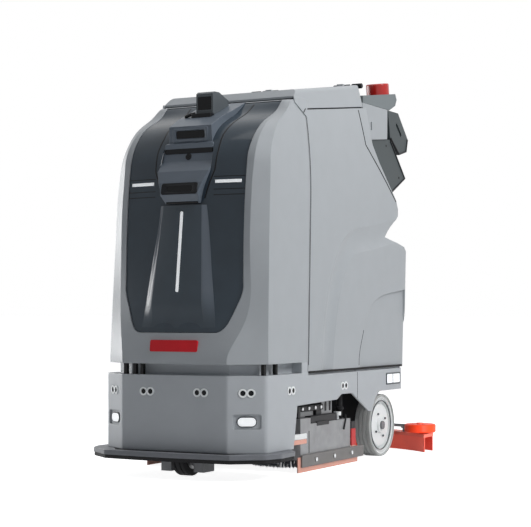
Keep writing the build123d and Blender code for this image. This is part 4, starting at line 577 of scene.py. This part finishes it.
# Pod: place and facing of each trim, and its steps, radii or plate
BROW_PLACE = ((0, -0.5725, 1.107), (0, -53, -3))
BROW_STEPS = (
    (0.068, 0.025, 0.008, -0.001),
    (0.0665, 0.0235, 0.007, 0.003),
    (0.0635, 0.0205, 0.006, 0.0035),
    (0.053, 0.0125, 0.004, -0.0017),
)
CHIN_PLACE = ((0, -0.641, 0.925), (0, -40, 9))
CHIN_STEPS = (
    (0.068, 0.0195, 0.008, -0.001),
    (0.0665, 0.018, 0.007, 0.0025),
    (0.060, 0.0145, 0.006, 0.003),
    (0.047, 0.009, 0.004, -0.0017),
)
LENS_PLACE = ((0, -0.583, 1.033), (0, -30, 6))
LENS_RADII = ((0.0115, -0.0005), (0.011, 0.0012), (0.0085, 0.0016), (0.0062, 0.0004))
# Slot under the brow: a black plate that stands for its shade, a painted shade
SLOT_PLACE = ((0, -0.5828, 1.052), FRONT)
SLOT_PLATE = (0.0905, 0.0085, 0.006, -0.016, 0.0, 0.001)
CHIN_LIP = ((-0.060, -0.6215, 0.881), (0.060, -0.6215, 0.881))
CHIN_LIP_R = 0.0045


def add_pod_trim():
    """Frames of the camera windows, a black plate as painted shade in the slot under the brow, the lens ring
    and the chin's lip.
    """
    shape = bmesh.new()
    add_frame(shape, plane_at(*BROW_PLACE), BROW_STEPS)
    add_piece("brow_frame", shape, POD, "chassis", "graphite")
    shape = bmesh.new()
    add_frame(shape, plane_at(*CHIN_PLACE), CHIN_STEPS)
    add_piece("chin_frame", shape, GLOSS, "chassis", "window_black")
    shape = bmesh.new()
    add_frame(shape, plane_at(*LENS_PLACE), ring_steps(LENS_RADII))
    add_piece("lens_ring", shape, GLOSS, "chassis", "window_black")
    shape = bmesh.new()
    # Black plate in the notch under the brow: painted shade of the slot
    add_slab(shape, plane_at(*SLOT_PLACE), *SLOT_PLATE)
    add_rod(shape, CHIN_LIP, CHIN_LIP_R)
    add_piece("pod_slot_shade_and_chin_lip", shape, GLOSS, "chassis", "window_black")


# Joint lines of the fascia: points of x and z beside the pod, heights and reach of the level ones,
# and width and rise of both kinds
POD_SEAM = (
    (0.078, 0.893),
    (0.096, 0.945),
    (0.112, 0.985),
    (0.115, 1.050),
    (0.112, 1.100),
    (0.118, 1.160),
    (0.124, 1.222),
)
LEVEL_SEAMS_Z = (0.962, 0.921, 0.903)
LEVEL_SEAMS_X = (0.110, 0.2185)
POD_SEAM_SIZE = (0.0065, 0.0008)
LEVEL_SEAM_SIZE = (0.003, 0.0005)


def add_fascia_seams():
    """Joint lines of the fascia: level ones round the light strips and one along each side of the pod."""
    shape = bmesh.new()
    for side in SIDES:
        for z in LEVEL_SEAMS_Z:
            level = [(side * x, 0, z) for x in LEVEL_SEAMS_X]
            add_trim(shape, "fascia_panel", level, FRONT, *LEVEL_SEAM_SIZE)
        along_pod = [(side * x, 0, z) for x, z in POD_SEAM]
        add_trim(shape, "fascia_panel", along_pod, FRONT, *POD_SEAM_SIZE)
    add_piece("fascia_seams", shape, GLOSS, "chassis", "window_black")


# Keel: height and half widths of its flat and of its whole at top and foot, height of its fading out,
# place and lean of its flat, how hard its crease is, and how it lies on the panel
KEEL_TOP = (0.872, 0.072, 0.086)
KEEL_FOOT = (0.478, 0.097, 0.138)
KEEL_FADE = 0.095
KEEL_FLAT_Y = -0.680
KEEL_FLAT_Z = 0.362
KEEL_LEAN = 0.1152
KEEL_CREASE = 0.6
KEEL_SKIN = 0.0004
KEEL_SINK = 0.002
KEEL_ROWS = 40
FLANK_STEPS = 10


def eased(share):
    """Share from 0 to 1 with soft ends."""
    share = min(max(share, 0.0), 1.0)
    return share * share * (3 - 2 * share)


def keel_face(z):
    """How far forward the flat of the keel lies at a height."""
    return KEEL_FLAT_Y + KEEL_LEAN * (z - KEEL_FLAT_Z)


def add_keel():
    """Raised keel of the fascia: steep narrow flanks above, wide soft ones below, faded out at its foot; its
    flanks carry a painted highlight.
    """
    rows = []
    for row in range(KEEL_ROWS + 1):
        down = row / KEEL_ROWS
        z, flat, edge = (top + down * (foot - top) for top, foot in zip(KEEL_TOP, KEEL_FOOT))
        lift = eased((z - KEEL_FOOT[0]) / KEEL_FADE)
        half = [edge + (flat - edge) * step / FLANK_STEPS for step in range(FLANK_STEPS + 1)]
        points = []
        for x in (*[-x for x in half], 0.0, *reversed(half)):
            share = (edge - abs(x)) / (edge - flat)
            panel = hit("fascia_panel", (x, 0, z), FRONT)[0].y
            rise = lift * (KEEL_CREASE * min(share, 1.0) + (1 - KEEL_CREASE) * eased(share))
            points.append(Vector((x, panel - KEEL_SKIN + rise * (keel_face(z) - panel), z)))
        behind = [hit("fascia_panel", point, FRONT)[0].y + KEEL_SINK for point in points]
        back = [Vector((point.x, y, point.z)) for point, y in zip(points, behind)]
        rows.append(points + back[::-1])
    shape = bmesh.new()
    close_loops(shape, rows)
    keel = add_piece("keel", shape, KEEL, "chassis", "fascia_tint")
    # Faces of the flanks take the lighter finish, which is a painted highlight
    keel.data.materials.append(FLANK_HIGHLIGHT)
    for face in keel.data.polygons:
        down = (KEEL_TOP[0] - face.center.z) / (KEEL_TOP[0] - KEEL_FOOT[0])
        flat = KEEL_TOP[1] + down * (KEEL_FOOT[1] - KEEL_TOP[1])
        face.material_index = int(abs(face.center.x) > flat)
    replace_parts(keel, "fascia_insert")


# Top sensor: plate in front of it and arm beside it
LEDGE_AT = (0, -0.4925, 1.182)
LEDGE = (0.038, 0.0135, 0.005, -0.014, 0.002, 0.001)
SENSOR_ARM = ((-0.064, -0.502, 1.174), (-0.046, -0.494, 1.183), (-0.030, -0.488, 1.187))
SENSOR_ARM_R = 0.0055


def add_top_sensor_trim():
    """Ledge in front of the top sensor and the small arm beside it."""
    shape = bmesh.new()
    add_slab(shape, plane_at(LEDGE_AT, UP), *LEDGE)
    add_rod(shape, SENSOR_ARM, SENSOR_ARM_R)
    add_piece("top_sensor_ledge", shape, GLOSS, "chassis", "window_black")


# Lamp bezels: place and steps, and a bar across the side lamps as a block like those of the deck
CORNER_LAMP = (0.2475, -0.638, 0.183)
CORNER_FACING = (0.07, -0.105, 0)
CORNER_STEPS = (
    (0.0325, 0.0170, 0.0165, -0.0065),
    (0.0320, 0.0165, 0.0160, -0.0025),
    (0.0300, 0.0145, 0.014, -0.0016),
    (0.0285, 0.0130, 0.0126, -0.0021),
)
SIDE_LAMP = (0.300, 0.390, 0.283)
SIDE_STEPS = (
    (0.0645, 0.0215, 0.004, -0.001),
    (0.0635, 0.0205, 0.004, 0.0030),
    (0.0605, 0.0175, 0.003, 0.0034),
    (0.0590, 0.0160, 0.002, 0.0018),
)
SIDE_LAMP_BAR = ((0.383, 0.387), (0.266, 0.300), 0.3028, 0.003)


def add_lamp_bezels():
    """Dark rims of the corner lamps and of the rear side lamps."""
    shape = bmesh.new()
    for side in SIDES:
        spot, facing = on_side(side, (CORNER_LAMP, CORNER_FACING))
        add_frame(shape, plane_at(spot, facing), CORNER_STEPS)
        add_frame(shape, side_plane(side, *SIDE_LAMP), SIDE_STEPS)
        add_side_block(shape, side, *SIDE_LAMP_BAR)
    add_piece("lamp_bezels", shape, GRAPHITE, "chassis", "graphite")


# Blocks on the deck's sides: y and z reach, outer face and depth
BLACK_BLOCKS = (
    ((-0.338, -0.150), (0.197, 0.216), 0.276, 0.020),
    ((-0.343, -0.326), (0.174, 0.216), 0.278, 0.022),
    ((-0.262, -0.060), (0.155, 0.180), 0.284, 0.022),
    ((-0.226, -0.132), (0.146, 0.160), 0.2895, 0.006),
    ((-0.190, -0.150), (0.178, 0.218), 0.268, 0.024),
    ((-0.112, -0.100), (0.189, 0.241), 0.264, 0.030),
    ((-0.078, -0.066), (0.189, 0.241), 0.264, 0.030),
    ((0.042, 0.076), (0.119, 0.144), 0.291, 0.012),
    ((-0.287, -0.281), (0.060, 0.134), 0.2886, 0.003),
)
GREY_BLOCKS = (
    ((-0.322, -0.200), (0.176, 0.196), 0.262, 0.016),
    ((-0.136, -0.054), (0.178, 0.239), 0.262, 0.030),
)
PALE_BLOCKS = (((-0.400, -0.302), (0.109, 0.127), 0.2900, 0.012),)
PINK_BLOCKS = (((-0.400, -0.302), (0.093, 0.108), 0.2895, 0.012),)

# Rods of the deck: route and radius
DECK_RODS = (
    (((0.262, 0.006, 0.155), (0.262, 0.006, 0.243)), 0.0105),
    (((0.262, 0.006, 0.185), (0.262, 0.006, 0.200)), 0.0150),
    (((0.284, 0.008, 0.170), (0.2885, -0.002, 0.152), (0.2895, -0.018, 0.121)), 0.0040),
)

# Bolts of the deck's beam: a row along y, and plate of each
BEAM_BOLTS_Y = (-0.310, -0.262, -0.214, -0.170)
BEAM_FACE = 0.276
BEAM_BOLTS_Z = 0.2065
BEAM_BOLT = (0.006, 0.006, 0.00594, -0.003, 0.0035, 0.001)


def add_deck_gear():
    """Brackets, beams, rods and levers on top of the deck, along both of its sides."""
    kinds = (
        ("deck_gear", BLACK_BLOCKS, BLACK, "frame_black"),
        ("deck_brackets", GREY_BLOCKS, DECK, "deck_steel"),
        ("deck_stops", PALE_BLOCKS, HUB, "hub_white"),
        ("deck_pads", PINK_BLOCKS, SALMON, "blade_salmon"),
    )
    for name, blocks, material, slot in kinds:
        shape = bmesh.new()
        for side in SIDES:
            for block in blocks:
                add_side_block(shape, side, *block)
        add_piece(name, shape, material, "deck", slot)
    rods = bmesh.new()
    bolts = bmesh.new()
    for side in SIDES:
        for route, radius in DECK_RODS:
            add_rod(rods, on_side(side, route), radius)
        for y in BEAM_BOLTS_Y:
            add_slab(bolts, side_plane(side, BEAM_FACE, y, BEAM_BOLTS_Z), *BEAM_BOLT)
    add_piece("deck_rods", rods, RUBBER, "deck", "rubber_black")
    add_piece("deck_bolts", bolts, STEEL, "deck", "steel")


# Rear wheels: face of the hub, place of the axle, groove as radius and height, and screws
HUB_FACE = 0.280
REAR_WHEEL = (0.325, 0.1135)
GROOVE_RADII = ((0.0905, -0.003), (0.0900, 0.0008), (0.0880, 0.0008), (0.0875, -0.003))
GROOVE_CORNER_STEPS = 16
HUB_SCREWS = 4
HUB_SCREWS_R = 0.046
HUB_SCREWS_TURN = 0.5
HUB_SCREW = (0.0040, 0.0040, 0.00395, -0.003, 0.0012, 0.0005)


def add_hub_rings(name, side, body):
    """Dark groove ring and four small screws on the face of a rear wheel's hub."""
    shape = bmesh.new()
    place = side_plane(side, HUB_FACE, *REAR_WHEEL)
    add_frame(shape, place, ring_steps(GROOVE_RADII), GROOVE_CORNER_STEPS)
    for screw in range(HUB_SCREWS):
        turn = screw * 2 * pi / HUB_SCREWS + HUB_SCREWS_TURN
        centre = place(HUB_SCREWS_R * cos(turn), HUB_SCREWS_R * sin(turn), 0)
        add_slab(shape, plane_at(centre, (side, 0, 0), (0, side, 0)), *HUB_SCREW)
    add_piece(name, shape, GRAPHITE, body, "graphite")


# Squeegee: centre and radius of its curve, top, knobs by angle, and tie rods with their feet
SQUEEGEE_CENTRE_Y = 0.1265
SQUEEGEE_R = 0.594
SQUEEGEE_TOP = 0.068
KNOB_ANGLES = (-32, -22, -12, 12, 22, 32)
KNOB_STEM = (0.0045, 0.0045, 0.0044, -0.002, 0.010, 0.0005)
KNOB_HEAD = (0.0115, 0.0115, 0.0114, 0.009, 0.020, 0.002)
TIE_ROD_Z = 0.092
TIE_ROD = ((0.262, 0.612, TIE_ROD_Z), (0.080, 0.640, TIE_ROD_Z))
TIE_ROD_R = 0.006
TIE_ROD_FEET = ((0.250, 0.614), (0.092, 0.638))
TIE_ROD_FOOT_R = 0.007
TIE_ROD_SINK = 0.002


def add_squeegee_gear():
    """Knobs along the squeegee and the tie rods to its rollers."""
    knobs = bmesh.new()
    for angle in KNOB_ANGLES:
        turn = radians(angle)
        x = SQUEEGEE_R * sin(turn)
        y = SQUEEGEE_CENTRE_Y + SQUEEGEE_R * cos(turn)
        place = plane_at((x, y, SQUEEGEE_TOP), UP)
        add_slab(knobs, place, *KNOB_STEM)
        add_slab(knobs, place, *KNOB_HEAD)
    add_piece("squeegee_knobs", knobs, BLACK, "squeegee", "frame_black")
    rods = bmesh.new()
    for side in SIDES:
        add_rod(rods, on_side(side, TIE_ROD), TIE_ROD_R)
        for x, y in TIE_ROD_FEET:
            foot = ((x, y, SQUEEGEE_TOP - TIE_ROD_SINK), (x, y, TIE_ROD_Z))
            add_rod(rods, on_side(side, foot), TIE_ROD_FOOT_R)
    add_piece("squeegee_tie_rods", rods, ALLOY, "squeegee", "motor_alloy")


# Joint lines of the body, and a painted shadow line along the arch's step: points of y and z on the sides
# of the tank, then those of other pieces, with width and rise or with a radius
TANK_SEAM = (
    (0.198, 1.262),
    (0.205, 1.200),
    (0.2145, 1.136),
    (0.260, 1.098),
    (0.320, 1.050),
    (0.385, 0.997),
    (0.4505, 0.943),
)
SHELL_SEAM = ((-0.3070, 0.352), (-0.2525, 1.183))
# Black line along the edge of the arch's recess: a painted shadow of its step
ARCH_SHADOW_LINE = ((0.1375, 0.4635), (0.1050, 0.3995), (0.0940, 0.3640), (0.0925, 0.3400))
TANK_SEAMS_AND_SHADOW_LINE = ((TANK_SEAM, 0.008), (SHELL_SEAM, 0.005), (ARCH_SHADOW_LINE, 0.003))
TANK_SEAM_RISE = 0.0006
BASE_SEAM = ((0, 0.075, 0.325), (0, 0.075, 0.225))
BASE_SEAM_SIZE = (0.0035, 0.0004)
SILL_LINE = ((0.2972, -0.310, 0.3285), (0.2972, 0.478, 0.3285))
SILL_LINE_R = 0.004
LID_CORNER_SEAM = ((0, -0.284, 1.191), (0, -0.272, 1.1995), (0, -0.256, 1.2125))
LID_CORNER_SIZE = (0.005, 0.0005)

# Console: edges of its boxes, screws as points of y and z, and hinge barrels of the lid
BOX_EDGE = ((0.545, 1.183), (0.683, 1.052), (0.546, 0.985), (0.515, 0.987))
DISPLAY_EDGE = ((0.548, 1.197), (0.630, 1.1425), (0.697, 1.159), (0.711, 1.207))
CONSOLE_SIDE = 0.225
BEAD_R = 0.0042
BEAD_SINK = 0.0005
CONSOLE_SCREWS = ((0.505, 1.163), (0.628, 1.050), (0.530, 1.010))
CONSOLE_SCREW = (0.0045, 0.0045, 0.00445, -0.002, 0.0012, 0.0006)
HINGE_BARREL = ((0.190, 0.270, 1.362), (0.232, 0.270, 1.362))
HINGE_BARREL_R = 0.0095


def add_body_seams():
    """Joint lines on the sides of the body: of tank, base, sill and lid; the black line along the arch's
    step is painted shadow.
    """
    shape = bmesh.new()
    for side in SIDES:
        facing = side * LEFT
        for tank_line, width in TANK_SEAMS_AND_SHADOW_LINE:
            add_trim(shape, "recovery_tank", [(0, y, z) for y, z in tank_line], facing, width, TANK_SEAM_RISE)
        add_trim(shape, "base_shell", BASE_SEAM, facing, *BASE_SEAM_SIZE)
        add_rod(shape, on_side(side, SILL_LINE), SILL_LINE_R)
    add_piece("body_seams_and_arch_shadow", shape, RUBBER, "chassis", "rubber_black")
    shape = bmesh.new()
    for side in SIDES:
        add_trim(shape, "tank_lid", LID_CORNER_SEAM, side * LEFT, *LID_CORNER_SIZE)
    add_piece("lid_corner_seams", shape, RUBBER, "lid", "rubber_black")


def add_console_trim():
    """Black edge beads, screws and hinge barrels of the rear console."""
    shape = bmesh.new()
    for side in SIDES:
        for edge in (BOX_EDGE, DISPLAY_EDGE):
            add_rod(shape, [(side * (CONSOLE_SIDE - BEAD_SINK), y, z) for y, z in edge], BEAD_R)
        for y, z in CONSOLE_SCREWS:
            add_slab(shape, side_plane(side, CONSOLE_SIDE, y, z), *CONSOLE_SCREW)
        add_rod(shape, on_side(side, HINGE_BARREL), HINGE_BARREL_R)
    add_piece("console_trim", shape, GLOSS, "chassis", "window_black")


# Bumper: left half of its lip seen from above, with room in the middle for the steered fork,
# and the flaps and the strip behind it
LIP_OUTLINE = (
    (0.214, -0.6995),
    (0.252, -0.646),
    (0.243, -0.634),
    (0.197, -0.669),
    (0.118, -0.669),
    (0.108, -0.6785),
)
LIP_Z = (0.0824, 0.0832)
FLAP_X = 0.135
FLAP_YZ = (-0.652, 0.0735)
FLAP = (0.037, 0.0115, 0.003, -0.005, 0, 0.001)
STRIP_AT = (0, -0.6774, 0.0834)
STRIP = (0.115, 0.0066, 0.002, 0, 0.0009, 0.0002)


def add_bumper_seals():
    """Rubber lip of the bumper under the base's edge, and a strip and flaps on the base behind it."""
    shape = bmesh.new()
    outline = [*LIP_OUTLINE, *[(-x, y) for x, y in reversed(LIP_OUTLINE)]]
    close_loops(shape, [[(x, y, z) for x, y in outline] for z in LIP_Z])
    add_piece("bumper_lip", shape, RUBBER, "bumper", "rubber_black")
    shape = bmesh.new()
    for side in SIDES:
        add_slab(shape, plane_at((side * FLAP_X, *FLAP_YZ), FRONT), *FLAP)
    add_slab(shape, plane_at(STRIP_AT, UP), *STRIP)
    add_piece("front_aprons", shape, RUBBER, "chassis", "rubber_black")


bpy.context.scene.view_settings.view_transform = "Standard"
add_camera()
add_world()
add_floor()
for lamp in LAMPS:
    add_lamp(*lamp)
dress_nodes()
add_bristles("left_brush_bristles", BRUSH_X, "left_bristles", "left_brush")
add_bristles("right_brush_bristles", -BRUSH_X, "right_bristles", "right_brush")
add_pod_trim()
add_fascia_seams()
add_keel()
add_body_seams()
add_console_trim()
add_bumper_seals()
add_top_sensor_trim()
add_lamp_bezels()
add_deck_gear()
add_hub_rings("left_hub_rings", 1, "left_wheel")
add_hub_rings("right_hub_rings", -1, "right_wheel")
add_squeegee_gear()
